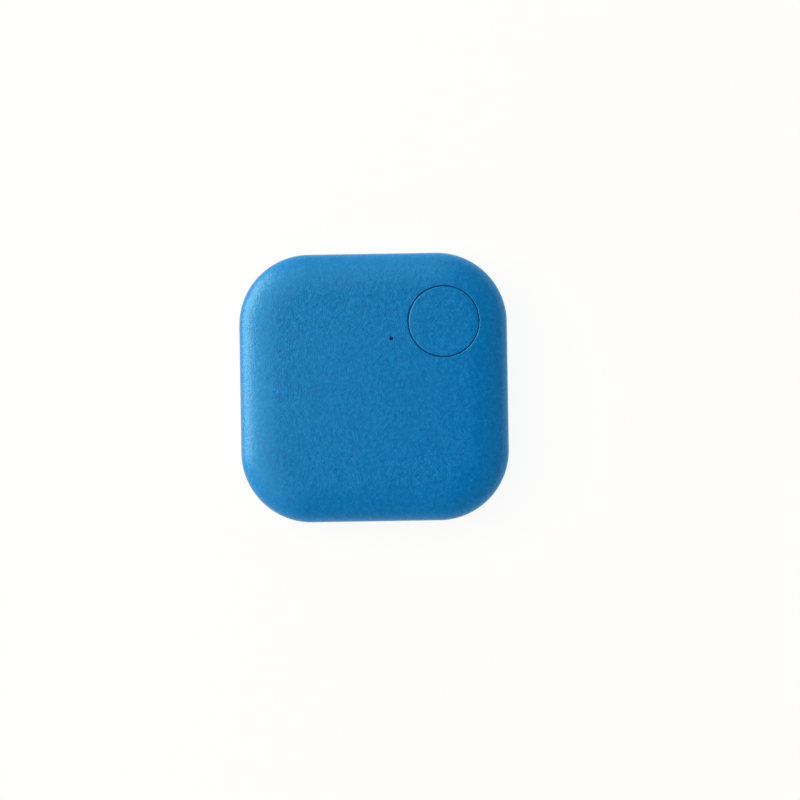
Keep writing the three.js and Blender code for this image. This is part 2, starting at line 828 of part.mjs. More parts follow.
function driverGeometry() {
  const { length, width, height } = driver;
  const body = block(-length / 2, length / 2, -width / 2, width / 2, -height, -driverLegSheet);
  const legs = [[-driverLegPitch, 1], [driverLegPitch, 1], [0, -1]].map(([x, way]) => {
    const near = way * (width / 2 - sink);
    const far = way * (width / 2 + driverLegReach);
    return block(
      x - driverLegWidth / 2, x + driverLegWidth / 2,
      Math.min(near, far), Math.max(near, far), -2 * driverLegSheet, 0);
  });
  return carve(body, legs, []);
}

// Scene graph
const tag = new THREE.Group();
const rearCase = new THREE.Group();
const frontCase = new THREE.Group();
tag.add(rearCase, frontCase);

function group(parent, x, y, z) {
  const holder = new THREE.Group();
  holder.position.set(x, y, z);
  parent.add(holder);
  return holder;
}

function piece(parent, name, geometry, color, roughness, metalness = 0) {
  const mesh = new THREE.Mesh(geometry, new THREE.MeshStandardMaterial({ color, roughness, metalness }));
  mesh.name = name;
  parent.add(mesh);
  return mesh;
}

const battery = group(frontCase, cellCentre, cellCentre, padTop);
const tray = group(frontCase, cellCentre, cellCentre, 0);
const sounder = group(frontCase, sounderX, sounderY, 0);
const button = group(frontCase, buttonX, buttonY, 0);
const tactSwitch = group(frontCase, buttonX, buttonY, boardFront);
const rearSide = group(frontCase, 0, 0, boardRear - solderGap);

piece(rearCase, 'rear_cover', rearCoverGeometry(), '#1675b0', 0.55);
const pad = piece(rearCase, 'battery_pad', disc(padRadius, rearWall, padTop, largeRound), '#3a3d42', 0.95);
pad.position.set(cellCentre, cellCentre, 0);

piece(frontCase, 'front_shell', frontShellGeometry(), '#1675b0', 0.5);
piece(button, 'button_cap', buttonCapGeometry(), '#1675b0', 0.5);

piece(battery, 'cell_can', cellCanGeometry(), '#c9cccf', 0.3, 1);
piece(battery, 'cell_gasket', cellGasketGeometry(), '#d8d8d2', 0.6);
piece(battery, 'cell_cap', cellCapGeometry(), '#cfd2d4', 0.3, 1);
const roofInside = capTop - cellSheet - cellFit;
const canInside = cellSheet + cellFit;
const anodeBottom = roofInside - anodeHeight;
piece(battery, 'cell_cathode', electrodeGeometry(canInside, anodeBottom - cellFit), '#2b2b2d', 0.8);
piece(battery, 'cell_anode', electrodeGeometry(anodeBottom, roofInside), '#b9bcc0', 0.4, 1);

piece(tray, 'battery_tray', batteryTrayGeometry(), '#26282b', 0.6);
piece(tray, 'positive_contact', positiveContactGeometry(), '#d9b25f', 0.3, 1).rotation.z = positiveAngle;
piece(tray, 'negative_contact', negativeContactGeometry(), '#d9b25f', 0.3, 1).rotation.z = negativeAngle;

piece(frontCase, 'circuit_board', circuitBoardGeometry(), '#1c5a38', 0.5);
screwPlaces.forEach(([x, y], index) => {
  piece(frontCase, `board_screw_${index + 1}`, screwGeometry(), '#a9adb2', 0.35, 1).position.set(x, y, 0);
});

piece(tactSwitch, 'switch_base', switchBaseGeometry(), '#202226', 0.6);
piece(tactSwitch, 'switch_dome', switchDomeGeometry(), '#cfd3d6', 0.25, 1);
piece(tactSwitch, 'switch_plunger', switchPlungerGeometry(), '#ece9e0', 0.5);
piece(tactSwitch, 'switch_plate', switchPlateGeometry(), '#bfc3c7', 0.3, 1);

const tape = tube(chamberRadius, sounderRadius, sounderTop, rimBottom, largeRound);
const brassPlate = disc(sounderRadius, ceramicTop, sounderTop, largeRound);
const ceramicDisc = disc(ceramicRadius, ceramicBottom, ceramicTop, largeRound);
piece(sounder, 'sounder_tape', tape, '#20242a', 0.8);
piece(sounder, 'sounder_plate', brassPlate, '#c99a3f', 0.35, 1);
piece(sounder, 'sounder_ceramic', ceramicDisc, '#e3ded2', 0.6);
const redAngle = 100 * degree;
const blackAngle = 72 * degree;
const redStart = ceramicRadius + seatWidth;
const blackStart = ceramicRadius - seatWidth;
piece(sounder, 'sounder_lead_red', leadGeometry(redStart, ceramicTop, redAngle), '#b3231c', 0.5);
piece(sounder, 'sounder_lead_black', leadGeometry(blackStart, ceramicBottom, blackAngle), '#1d1d1f', 0.5);

piece(frontCase, 'aerial_trace', aerialGeometry(), '#c98b45', 0.35, 1);

// Stands a part on the board, along X or turned across it
function soldered(name, geometry, [x, y], color, roughness, metalness = 0, across = false) {
  const mesh = piece(rearSide, name, geometry, color, roughness, metalness);
  mesh.position.set(x, y, 0);
  mesh.rotation.z = across ? quarterTurn : 0;
}

// The radio chip, with its crystals under it and two capacitors at its side
const [radioX, radioY] = radioChipShares.map(along);
const radioCrystalX = radioX + (radioChipSide - radioCrystal.length) / 2;
const radioCrystalY = radioY - radioChipSide / 2 - crystalGap - radioCrystal.width / 2;
const watchCrystalX = radioX - (radioChipSide - watchCrystal.length) / 2;
soldered('radio_chip', radioChipGeometry(), [radioX, radioY], '#1b1c1f', 0.55);
soldered('radio_crystal', crystalGeometry(radioCrystal), [radioCrystalX, radioCrystalY], '#b9bdc1', 0.3, 1);
soldered('watch_crystal', crystalGeometry(watchCrystal), [watchCrystalX, radioCrystalY], '#c2c5c8', 0.3, 1);

// The boost coil, with two capacitors at its side
const [coilX, coilY] = boostCoilShares.map(along);
soldered('boost_coil', boostCoilGeometry(), [coilX, coilY], '#2a2c30', 0.6);
soldered('driver_transistor', driverGeometry(), driverShares.map(along), '#1d1e21', 0.55);
soldered('diode', chipGeometry(diode), diodeShares.map(along), '#232428', 0.5);
soldered('reservoir_capacitor', chipGeometry(reservoir), reservoirShares.map(along), '#8c7355', 0.55);

const besideChip = radioX + radioChipSide / 2 + partGap + smallCapacitor.width / 2;
const besideCoil = coilX + boostCoilSide / 2 + 2 * partGap + smallCapacitor.width / 2;
const pairStep = (smallCapacitor.length + partGap) / 2;
const standing = [
  [besideChip, radioY + radioChipSide / 4],
  [besideChip, radioY - radioChipSide / 4],
  [besideCoil, coilY - pairStep],
  [besideCoil, coilY + pairStep],
];
const lying = capacitorShares.map((shares) => shares.map(along));
[...standing, ...lying].forEach((place, index) => {
  const across = index < standing.length;
  soldered(`capacitor_${index + 1}`, chipGeometry(smallCapacitor), place, '#a08260', 0.55, 0, across);
});
resistorShares.forEach((shares, index) => {
  soldered(`resistor_${index + 1}`, chipGeometry(resistor), shares.map(along), '#1c1d20', 0.5);
});
matchingCoilShares.forEach((shares, index) => {
  soldered(`matching_coil_${index + 1}`, chipGeometry(matchingCoil), shares.map(along), '#3c4a63', 0.5);
});

export default tag;
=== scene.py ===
# %% [markdown]
# # A square radio tag, dressed piece by piece
# The tag is a flat plastic pebble, 37 mm square and 6.5 mm thick. A front shell snaps onto a rear cover,
# a round button sits flush in the front, and a coin cell, a sounder and a small circuit board lie inside.
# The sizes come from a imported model, the frame. It says where each piece is and which body carries it.
# Here each piece gets its true surface, its small rounds and its finish. Lengths are in millimetres
# until a mesh is made, and then in metres, as Blender counts them.

# %% The frame and its box
import math

import bmesh
import bpy
import numpy as np
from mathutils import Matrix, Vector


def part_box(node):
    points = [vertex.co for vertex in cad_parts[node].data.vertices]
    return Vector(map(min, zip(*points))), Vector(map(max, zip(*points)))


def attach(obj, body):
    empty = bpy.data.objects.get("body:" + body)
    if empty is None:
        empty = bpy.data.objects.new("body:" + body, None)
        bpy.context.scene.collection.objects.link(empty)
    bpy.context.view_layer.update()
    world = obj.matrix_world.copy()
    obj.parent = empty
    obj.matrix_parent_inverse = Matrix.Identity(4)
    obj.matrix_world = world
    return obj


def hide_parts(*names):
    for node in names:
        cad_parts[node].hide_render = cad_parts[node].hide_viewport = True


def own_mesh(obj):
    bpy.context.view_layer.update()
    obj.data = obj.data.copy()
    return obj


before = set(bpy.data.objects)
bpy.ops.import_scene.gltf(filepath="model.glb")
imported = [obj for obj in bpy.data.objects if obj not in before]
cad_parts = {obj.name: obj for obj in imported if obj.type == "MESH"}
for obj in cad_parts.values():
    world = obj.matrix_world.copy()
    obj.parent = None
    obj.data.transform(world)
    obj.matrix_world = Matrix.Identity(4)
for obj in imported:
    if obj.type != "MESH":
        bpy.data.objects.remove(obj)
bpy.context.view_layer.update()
MM = 0.001
print("nodes in the frame:", len(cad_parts))


def corners(node):
    """Lowest and highest corner of a frame node, in millimetres."""
    low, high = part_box(node)
    return np.array(low) / MM, np.array(high) / MM


# %% [markdown]
# ## The camera
# The photograph looks straight down on the front face from a little way off, so a long lens stands high
# above a point beside the tag. Its distance follows from the lens and from how wide the picture is at the
# height of the case's wall. The tag lies turned by about one degree, and the camera turns the other way.

# %% Camera
LENS = 85.0
SENSOR = 36.0
PICTURE_WIDTH = 110.86
LOOK_AT = (3.557, -1.78, 3.3)
TURN = math.radians(-0.929)

camera_data = bpy.data.cameras.new("camera")
camera_data.lens = LENS
camera_data.sensor_width = SENSOR
camera = bpy.data.objects.new("camera", camera_data)
camera_height = PICTURE_WIDTH * LENS / SENSOR
camera.location = (LOOK_AT[0] * MM, LOOK_AT[1] * MM, (LOOK_AT[2] + camera_height) * MM)
camera.rotation_euler = (0, 0, TURN)
bpy.context.scene.collection.objects.link(camera)
bpy.context.scene.camera = camera
print("camera height in mm:", round(camera_height, 1))

# %% [markdown]
# ## From numbers to a mesh
# Nearly every piece here is a sheet of points with two directions: stations along a profile, and steps
# round it. Numpy works out the whole sheet at once. The helpers turn the sheet into faces: round the steps
# it always closes, and along the stations it closes on itself like a ring, or ends in two poles like a ball.

# %% Sheets of points into meshes
FULL_TURN = 2 * math.pi
QUARTER = math.pi / 2
SHARP_ANGLE = math.radians(32)
POLE_RADIUS = 0.01


def sheet_faces(rows, columns, ring):
    """Four-sided faces between neighbouring rows and columns; the last row meets the first in a ring."""
    row = np.arange(rows if ring else rows - 1)[:, None]
    column = np.arange(columns)[None, :]
    next_row = (row + 1) % rows
    next_column = (column + 1) % columns
    quads = [
        row * columns + column,
        row * columns + next_column,
        next_row * columns + next_column,
        next_row * columns + column,
    ]
    return np.stack([quad.ravel() for quad in np.broadcast_arrays(*quads)], axis=1)


def pole_faces(start, columns, pole):
    """Triangles from one row to a single point."""
    column = np.arange(columns)
    return np.stack([start + column, start + (column + 1) % columns, np.full(columns, pole)], axis=1)


def make_piece(name, points, quads, triangles):
    """A Blender object from points in millimetres and arrays of corner numbers."""
    mesh = bpy.data.meshes.new(name)
    sizes = np.concatenate([np.full(len(quads), 4), np.full(len(triangles), 3)])
    loops = np.concatenate([np.ravel(quads), np.ravel(triangles)]).astype(np.int32)
    mesh.vertices.add(len(points))
    mesh.vertices.foreach_set("co", (points * MM).astype(np.float32).ravel())
    mesh.loops.add(len(loops))
    mesh.loops.foreach_set("vertex_index", loops)
    mesh.polygons.add(len(sizes))
    mesh.polygons.foreach_set("loop_start", (np.cumsum(sizes) - sizes).astype(np.int32))
    mesh.update(calc_edges=True)
    piece = bpy.data.objects.new(name, mesh)
    bpy.context.scene.collection.objects.link(piece)
    return piece


def skin(name, sheet, ring=False):
    """A closed piece from a sheet of points shaped (stations, steps, 3)."""
    rows, columns, _ = sheet.shape
    points = sheet.reshape(-1, 3)
    quads = sheet_faces(rows, columns, ring)
    triangles = np.empty((0, 3), int)
    if not ring:
        poles = sheet[[0, -1]].mean(axis=1)
        points = np.concatenate([points, poles])
        first = pole_faces(0, columns, rows * columns)[:, ::-1]
        last = pole_faces((rows - 1) * columns, columns, rows * columns + 1)
        triangles = np.concatenate([first, last])
    piece = make_piece(name, points, quads, triangles)
    settle(piece)
    return piece


def settle(piece, merge=True):
    """Merges doubled points, turns the faces outwards, and shades smoothly up to a sharp angle."""
    mesh = bmesh.new()
    mesh.from_mesh(piece.data)
    if merge:
        bmesh.ops.remove_doubles(mesh, verts=mesh.verts, dist=1e-8)
    bmesh.ops.recalc_face_normals(mesh, faces=mesh.faces)
    mesh.to_mesh(piece.data)
    mesh.free()
    piece.data.shade_smooth()
    piece.data.set_sharp_from_angle(angle=SHARP_ANGLE)


# %% [markdown]
# ## Cutting and joining
# Holes, ribs and bosses sit where they like on a surface, across the grid of its points. A boolean joins or
# cuts them with no bend in the grid. Each is applied at once, so that the mesh is final when it is dressed.

# %% Booleans
def carve(piece, operation, tools):
    """Joins the tools to the piece or cuts them from it, one after another, and removes them."""
    for tool in tools:
        modifier = piece.modifiers.new("carve", "BOOLEAN")
        modifier.operation = operation
        modifier.solver = "MANIFOLD"
        modifier.object = tool
    view = bpy.context.evaluated_depsgraph_get()
    mesh = bpy.data.meshes.new_from_object(piece.evaluated_get(view))
    mesh.materials.clear()
    piece.modifiers.clear()
    piece.data = mesh
    for tool in tools:
        bpy.data.objects.remove(tool)
    settle(piece)
    return piece


# %% [markdown]
# ## Profiles
# A turned or moulded piece is known by its side outline. Sharp corners in that outline catch no light, and
# every real one has a small radius, so `rounded` replaces each corner by a curve of its own reach. A guard
# point just before and after each curve keeps the soft shading inside it, and the flat sides stay flat.

# %% Rounded outlines
GUARD_SHARE = 0.3


def rounded(outline, reaches, steps=5):
    """Outline with curves for corners: each corner is cut back along both its sides and joined by
    (1-t)^2 a + 2t(1-t) corner + t^2 b, which leaves and meets the sides without a kink."""
    outline = np.array(outline, float)
    reach = np.broadcast_to(np.array(reaches, float), len(outline))[:, None]
    before = np.roll(outline, 1, axis=0) - outline
    after = np.roll(outline, -1, axis=0) - outline
    to_start = before * reach / np.maximum(np.linalg.norm(before, axis=1), 1e-9)[:, None]
    to_end = after * reach / np.maximum(np.linalg.norm(after, axis=1), 1e-9)[:, None]
    t = np.linspace(0, 1, steps)[None, :, None]
    curve = outline[:, None] + (1 - t) ** 2 * to_start[:, None] + t**2 * to_end[:, None]
    first_guard = (outline + to_start * (1 + GUARD_SHARE))[:, None]
    last_guard = (outline + to_end * (1 + GUARD_SHARE))[:, None]
    return np.concatenate([first_guard, curve, last_guard], axis=1).reshape(-1, 2)


def turned(name, profile, radii, centre=(0, 0), steps=96):
    """A turned piece: each point (r, z) of the rounded side outline runs round the axis as
    (x, y, z) = centre + (r cos a, r sin a, z). The outline starts and ends on the axis."""
    line = rounded(profile, radii)
    line[:, 0] = np.maximum(line[:, 0], POLE_RADIUS)
    return skin(name, revolve(line, centre, steps))


def washer(name, profile, radii, centre=(0, 0), steps=96):
    """A turned piece with a hole in its middle: its side outline closes on itself."""
    return skin(name, revolve(rounded(profile, radii), centre, steps), ring=True)


def revolve(line, centre, steps):
    """The sheet of a side outline carried once round an axis."""
    turn = np.linspace(0, FULL_TURN, steps, endpoint=False)[None, :]
    radius = line[:, :1]
    x = centre[0] + radius * np.cos(turn)
    y = centre[1] + radius * np.sin(turn)
    z = np.broadcast_to(line[:, 1:], x.shape)
    return np.stack([x, y, z], axis=2)


# %% [markdown]
# ## Slabs
# Chips, blocks, boards and ribs are flat outlines with a height. A plan is kept as corner middles and outward
# directions, as the outline of the case is, so a ring drawn in by any inset follows at once, and a side
# outline of insets and heights gives the slab its rounded or flared edges.

# %% Plans and slabs
def rectangle_plan(length, width, radius, steps=6):
    """Corner middles, outward directions and radius of a rectangle with round corners."""
    arc = np.linspace(0, QUARTER, steps)
    middles = []
    outwards = []
    for quarter, (side_x, side_y) in enumerate([(1, 1), (-1, 1), (-1, -1), (1, -1)]):
        middle = (side_x * (length / 2 - radius), side_y * (width / 2 - radius))
        middles.append(np.broadcast_to(middle, (steps, 2)))
        heading = arc + quarter * QUARTER
        outwards.append(np.stack([np.cos(heading), np.sin(heading)], axis=1))
    return np.concatenate(middles), np.concatenate(outwards), radius


def plan_rings(plan, line):
    """Rings of a plan from a side outline given as (inset, height). A ring lies at middle + (radius - inset) *
    outward; an inset past the corner's radius stops there, or the corners would cross."""
    middles, outwards, radius = plan
    line = np.asarray(line, float)
    rings = middles + (radius - line[:, 0]).clip(POLE_RADIUS, None)[:, None, None] * outwards
    heights = np.broadcast_to(line[:, 1][:, None, None], rings.shape[:2] + (1,))
    return np.concatenate([rings, heights], axis=2)


def slab_sheet(plan, low, high, low_round, high_round):
    """A plan pushed up between two heights, with its lower and upper edge rounded."""
    flat = 1.6 * max(low_round, high_round)
    return plan_rings(plan, rounded(
        [[flat, low], [0, low], [0, high], [flat, high]], [0, low_round, high_round, 0], steps=4))


def placed(sheet, centre=(0, 0, 0), heading=0.0):
    """The sheet turned about the upright axis by the heading, and then moved to its centre."""
    c, s = math.cos(heading), math.sin(heading)
    turn = np.array([[c, s, 0], [-s, c, 0], [0, 0, 1]])
    return sheet @ turn + np.array(centre, float)


def bar(name, low, high, edge, centre=(0, 0), heading=0.0):
    """A block between two corners with rounded edges, turned by the heading and moved to its centre."""
    low = np.array(low, float)
    high = np.array(high, float)
    middle = (low + high) / 2
    size = high - low
    plan = rectangle_plan(size[0], size[1], 2 * edge, steps=4)
    sheet = slab_sheet(plan, -size[2] / 2, size[2] / 2, edge, edge) + middle
    return skin(name, placed(sheet, (*centre, 0), heading))

# %% [markdown]
# ## The outline of the case
# Seen from the front the tag is a square with round corners. Every ring of the case is that outline drawn
# in by some distance, so one table of corner middles and outward directions serves them all.

# %% Rings of the case
CORNER_RADIUS = 9.7
CORNER_STEPS = 72
SIDE_STEPS = 56

shell_low, shell_high = corners("front_shell")
HALF = shell_high[0]
PARTING = shell_low[2]
CROWN_TOP = shell_high[2]
CROWN_RISE = 0.25
SHOULDER_TOP = CROWN_TOP - CROWN_RISE
SHOULDER_HEIGHT = 2.4
SHOULDER_SPAN = 5.6
SHOULDER_POWER = 2.35
WALL_TOP = SHOULDER_TOP - SHOULDER_HEIGHT


def ring_table():
    """Middles and directions of one turn: a quarter arc, then the straight run to the next corner,
    turned four times."""
    reach = HALF - CORNER_RADIUS
    arc = np.linspace(0, QUARTER, CORNER_STEPS, endpoint=False)
    run = np.linspace(reach, -reach, SIDE_STEPS, endpoint=False)
    middles = np.concatenate([
        np.full((CORNER_STEPS, 2), reach),
        np.stack([run, np.full(SIDE_STEPS, reach)], axis=1),
    ])
    headings = np.concatenate([arc, np.full(SIDE_STEPS, QUARTER)])
    outwards = np.stack([np.cos(headings), np.sin(headings)], axis=1)
    quarter_turn = np.array([[0, 1], [-1, 0]])
    turns = [np.linalg.matrix_power(quarter_turn, quarter) for quarter in range(4)]
    return np.concatenate([middles @ t for t in turns]), np.concatenate([outwards @ t for t in turns])


RING_MIDDLES, RING_OUTWARDS = ring_table()
RING_STEPS = len(RING_MIDDLES)
print("steps round the case:", RING_STEPS)


def case_rings(insets):
    """Rings drawn in from the outline: middle + (corner radius - inset) * direction, shaped (rings, steps, 2)."""
    radius = CORNER_RADIUS - np.asarray(insets, float)[:, None, None]
    return RING_MIDDLES + radius * RING_OUTWARDS


def crown(xy):
    """The slight rise of the front face: rise * (1 - (x/half)^2) * (1 - (y/half)^2)."""
    shares = 1 - (xy / HALF) ** 2
    return CROWN_RISE * shares[..., 0] * shares[..., 1]


def inset_of(xy):
    """How far inside the outline a place lies: corner radius - length of (|xy| - corner middle), counted
    from the nearest side where the place isn't beside a corner."""
    beyond = np.abs(xy) - (HALF - CORNER_RADIUS)
    outer = np.linalg.norm(np.maximum(beyond, 0), axis=-1)
    inner = np.minimum(beyond.max(axis=-1), 0)
    return CORNER_RADIUS - outer - inner


def face_height(xy):
    """Height of the front: wall top + (shoulder height + crown) * sqrt(1 - u^power), where u falls from 1 at
    the outline to 0 at the shoulder's span. A power over 2 lets the shoulder fade into the face."""
    u = np.clip(1 - inset_of(xy) / SHOULDER_SPAN, 0, 1)
    return WALL_TOP + (SHOULDER_HEIGHT + crown(xy)) * np.sqrt(np.maximum(1 - u**SHOULDER_POWER, 0))


def lifted(xy, heights):
    """Adds heights to plan points; a single number or one number a ring stands for a level ring."""
    heights = np.asarray(heights, float)
    while heights.ndim < xy.ndim - 1:
        heights = heights[..., None]
    return np.concatenate([xy, np.broadcast_to(heights, xy.shape[:-1])[..., None]], axis=-1)


def profile_rings(line):
    """Rings of the case from a side outline given as (inset, height)."""
    return lifted(case_rings(line[:, 0]), line[:, 1])


# %% [markdown]
# ## The front shell
# The front shell is a shallow lid with the button's hole through it. A lid with one hole has the shape of a
# ring, so its whole surface is one sheet that closes both ways: up the wall of the hole, out over the crowned
# face, down the shoulder and the side, round the edge at the parting line, and back under the face.
# On the face each step runs straight in plan from the hole to the shoulder, and its height is the crown's.

# %% Front shell, outside and inside in one sheet
SIDE_WALL = 1.2
SHOULDER_WIDTH = 3.6
FRONT_WALL = 0.9
CEILING = SHOULDER_TOP - FRONT_WALL
REBATE_INSET = 0.5
REBATE_TOP = 3.95
BUTTON_GAP = 0.11
BUTTON_RADIUS = 4.81
HOLE_RADIUS = BUTTON_RADIUS + BUTTON_GAP
HOLE_ROUND = 0.13
PARTING_ROUND = 0.14
SMALL_ROUND = 0.06

cap_low, cap_high = corners("button_cap")
BUTTON_PLACE = (cap_low[:2] + cap_high[:2]) / 2


def steps_of(count, power=1.0):
    """Shares from just after 0 to 1, closer together at the start when the power is over 1."""
    return (np.arange(1, count + 1) / count) ** power


def hole_rings(shoulder_ring, radii):
    """Circles round the button's place, whose steps point at the steps of the shoulder's ring."""
    aim = shoulder_ring - BUTTON_PLACE
    aim = aim / np.linalg.norm(aim, axis=-1, keepdims=True)
    return BUTTON_PLACE + np.asarray(radii, float)[:, None, None] * aim


def front_shell_sheet():
    """Stations in order: hole wall, its round, face, shoulder, side, parting edge, rebate, inside, ceiling.
    The shoulder's rings lie at inset = span * (1 - cos^(2/power) t), which spaces them by their slope."""
    edge = case_rings([SHOULDER_WIDTH])[0]
    wall = hole_rings(edge, [HOLE_RADIUS] * 4)
    wall_shares = np.array([0, 0.4, 0.8, 0.97])[:, None]
    wall_top = face_height(wall) - HOLE_ROUND
    hole_wall = lifted(wall, CEILING + SMALL_ROUND + (wall_top - CEILING - SMALL_ROUND) * wall_shares)

    t = np.linspace(0, QUARTER, 6)
    lip = hole_rings(edge, HOLE_RADIUS + HOLE_ROUND * (1 - np.cos(t)))
    hole_lip = lifted(lip, face_height(lip) - HOLE_ROUND * (1 - np.sin(t))[:, None])

    shares = steps_of(30, 1.6)[:-1, None, None]
    face = lip[-1] + (edge - lip[-1]) * shares
    face = lifted(face, face_height(face))

    share = 1 - SHOULDER_WIDTH / SHOULDER_SPAN
    t = np.linspace(math.acos(share ** (SHOULDER_POWER / 2)), 0, 33)
    over = case_rings(SHOULDER_SPAN * (1 - np.cos(t) ** (2 / SHOULDER_POWER)))
    shoulder = lifted(over, face_height(over))

    below = rounded(
        [[0, WALL_TOP - 0.1], [0, PARTING], [REBATE_INSET, PARTING],
         [REBATE_INSET, REBATE_TOP], [SIDE_WALL, REBATE_TOP]],
        [0, PARTING_ROUND, SMALL_ROUND, SMALL_ROUND, 0],
    )
    t = np.linspace(0.04, QUARTER, 16)
    inner_width = SHOULDER_WIDTH - SIDE_WALL
    under = np.stack([
        SIDE_WALL + inner_width * (1 - np.cos(t)), REBATE_TOP + (CEILING - REBATE_TOP) * np.sin(t)], axis=1)
    ceiling_edge = hole_rings(edge, [HOLE_RADIUS + SMALL_ROUND])[0]
    shares = steps_of(8)[:, None, None]
    ceiling = lifted(edge + (ceiling_edge - edge) * shares, CEILING)
    return np.concatenate([hole_wall, hole_lip, face, shoulder, profile_rings(below), profile_rings(under), ceiling])


front_shell = skin("front_shell_moulding", front_shell_sheet(), ring=True)
print("front shell faces:", len(front_shell.data.polygons))

# %% [markdown]
# ## The rear cover
# The rear cover is a tray: a flat back, a round up to the side, the parting edge, and a tongue that plugs
# into the front shell. It has no hole through its middle, so the sheet starts at a pole in the middle of the
# back and ends at a pole in the middle of the floor.

# %% Rear cover, outside and inside in one sheet
REAR_ROUND_WIDTH = 1.8
REAR_ROUND_HEIGHT = 1.5
FLOOR = 0.9
TONGUE_INSET = 0.6
TONGUE_INNER = 1.1
TONGUE_TOP = PARTING + 1.0
FLOOR_ROUND_WIDTH = 0.6
FLOOR_ROUND_HEIGHT = 0.4


def spread_to_middle(ring, heights, count):
    """Rings from the middle out to a ring, the last one left out; each is the ring scaled by its share."""
    shares = np.linspace(0.04, 1, count, endpoint=False)[:, None, None]
    return lifted(ring * shares, heights)


def rear_cover_sheet():
    """Stations in order: back, rear round, side, parting edge, tongue, floor round, floor.
    The rear round is a quarter ellipse: inset = width * (1 - sin t), height = rise * (1 - cos t)."""
    back = spread_to_middle(case_rings([REAR_ROUND_WIDTH])[0], 0, 10)
    t = np.linspace(0, QUARTER, 22)
    underside = np.stack([REAR_ROUND_WIDTH * (1 - np.sin(t)), REAR_ROUND_HEIGHT * (1 - np.cos(t))], axis=1)
    edge = rounded(
        [[0, REAR_ROUND_HEIGHT + 0.3], [0, PARTING], [TONGUE_INSET, PARTING],
         [TONGUE_INSET, TONGUE_TOP], [TONGUE_INNER, TONGUE_TOP], [TONGUE_INNER, FLOOR + 0.7]],
        [0, PARTING_ROUND, SMALL_ROUND, 0.12, 0.12, 0],
    )
    t = np.linspace(0, QUARTER, 10)
    foot = np.stack([
        TONGUE_INNER + FLOOR_ROUND_WIDTH * (1 - np.cos(t)), FLOOR + FLOOR_ROUND_HEIGHT * (1 - np.sin(t))], axis=1)
    floor = spread_to_middle(case_rings(foot[-1:, 0])[0], FLOOR, 10)[::-1]
    return np.concatenate([back, profile_rings(underside), profile_rings(edge), profile_rings(foot), floor])


rear_cover = skin("rear_cover_moulding", rear_cover_sheet())
print("rear cover faces:", len(rear_cover.data.polygons))

# %% [markdown]
# ## The button cap
# The cap is a round disc whose face carries the crown of the shell on across the gap. Under it are a skirt
# with a flange that stops it from falling out, and a small pip in the middle that meets the switch.

# %% Button cap
CAP_ROUND = 0.16
FLANGE_RADIUS = cap_high[0] - BUTTON_PLACE[0]
FLANGE_BOTTOM = 4.95
FLANGE_TOP = 5.3
CORE_RADIUS = 3.99
CORE_TOP = SHOULDER_TOP - 0.8
PIP_RADIUS = 1.0
PIP_BOTTOM = 4.78


def button_cap_sheet(steps=160):
    """Stations in order: face from its middle out, edge round, side, flange, core, pip."""
    turn = np.linspace(0, FULL_TURN, steps, endpoint=False)
    around = np.stack([np.cos(turn), np.sin(turn)], axis=1)
    t = np.linspace(0, QUARTER, 6)
    flat = BUTTON_RADIUS - CAP_ROUND
    radii = np.concatenate([np.linspace(0.03, 0.98, 14) * flat, flat + CAP_ROUND * np.sin(t)])
    drops = np.concatenate([np.zeros(14), CAP_ROUND * (1 - np.cos(t))])
    plan = BUTTON_PLACE + radii[:, None, None] * around
    face = lifted(plan, face_height(plan) - drops[:, None])
    below = rounded(
        [[BUTTON_RADIUS, FLANGE_TOP + 0.3], [BUTTON_RADIUS, FLANGE_TOP], [FLANGE_RADIUS, FLANGE_TOP],
         [FLANGE_RADIUS, FLANGE_BOTTOM], [CORE_RADIUS, FLANGE_BOTTOM], [CORE_RADIUS, CORE_TOP],
         [PIP_RADIUS, CORE_TOP], [PIP_RADIUS, PIP_BOTTOM], [0.05, PIP_BOTTOM]],
        [0, 0.04, 0.05, 0.05, 0.05, 0.1, 0.1, 0.12, 0],
    )
    return np.concatenate([face, revolve(below, BUTTON_PLACE, steps)])


button_cap = skin("button_cap_moulding", button_cap_sheet())
print("button cap faces:", len(button_cap.data.polygons))

# %% [markdown]
# ## Ribs, bosses and holes of the shells
# Behind the face stand three screw bosses, the rim that the sounder is taped to, and two keys that stop the
# button from turning. A tapered pinhole lets the sound out, and its blue wall hides most of the sounder. Each
# boss flares where it leaves the wall, as a moulded one does, so that it doesn't snap off.

# %% Front shell, details
OVERRUN = 0.5
SINK = 0.3
BOSS_RADIUS = 1.3
BOSS_FLARE = 0.25
PILOT_RADIUS = 0.6
PILOT_ROOM = 0.1
OUTLET_RADIUS = 0.28
OUTLET_NECK = 0.12
OUTLET_CHAMFER = 0.03
OUTLET_REACH = 4.83
OUTLET_HEADING = math.radians(49.7)
KEY_HEADINGS = np.radians([120, 300])
KEY_INNER = 5.45
KEY_OUTER = 6.4
KEY_HALF = 0.45
KEY_BOTTOM = 4.7
BEAD_HALF = 4.0
BEAD_TOP = 3.6
BEAD_BOTTOM = 3.3
BEAD_PROUD = 0.08
GROOVE_ROOM = 0.05
SIDE_HEADINGS = np.arange(4) * QUARTER


def middle_of(node):
    """Middle of a node as seen from the front."""
    low, high = corners(node)
    return (low[:2] + high[:2]) / 2


SCREW_NODES = ["board_screw_1", "board_screw_2", "board_screw_3"]
SCREW_PLACES = [middle_of(node) for node in SCREW_NODES]
BOARD_REAR = corners("circuit_board")[0][2]
BOARD_FRONT = corners("circuit_board")[1][2]
RIM_BOTTOM = corners("sounder_tape")[1][2]
SOUNDER_PLACE = middle_of("sounder_plate")
SOUNDER_RADIUS = corners("sounder_plate")[1][0] - SOUNDER_PLACE[0]
CHAMBER_RADIUS = 5.3


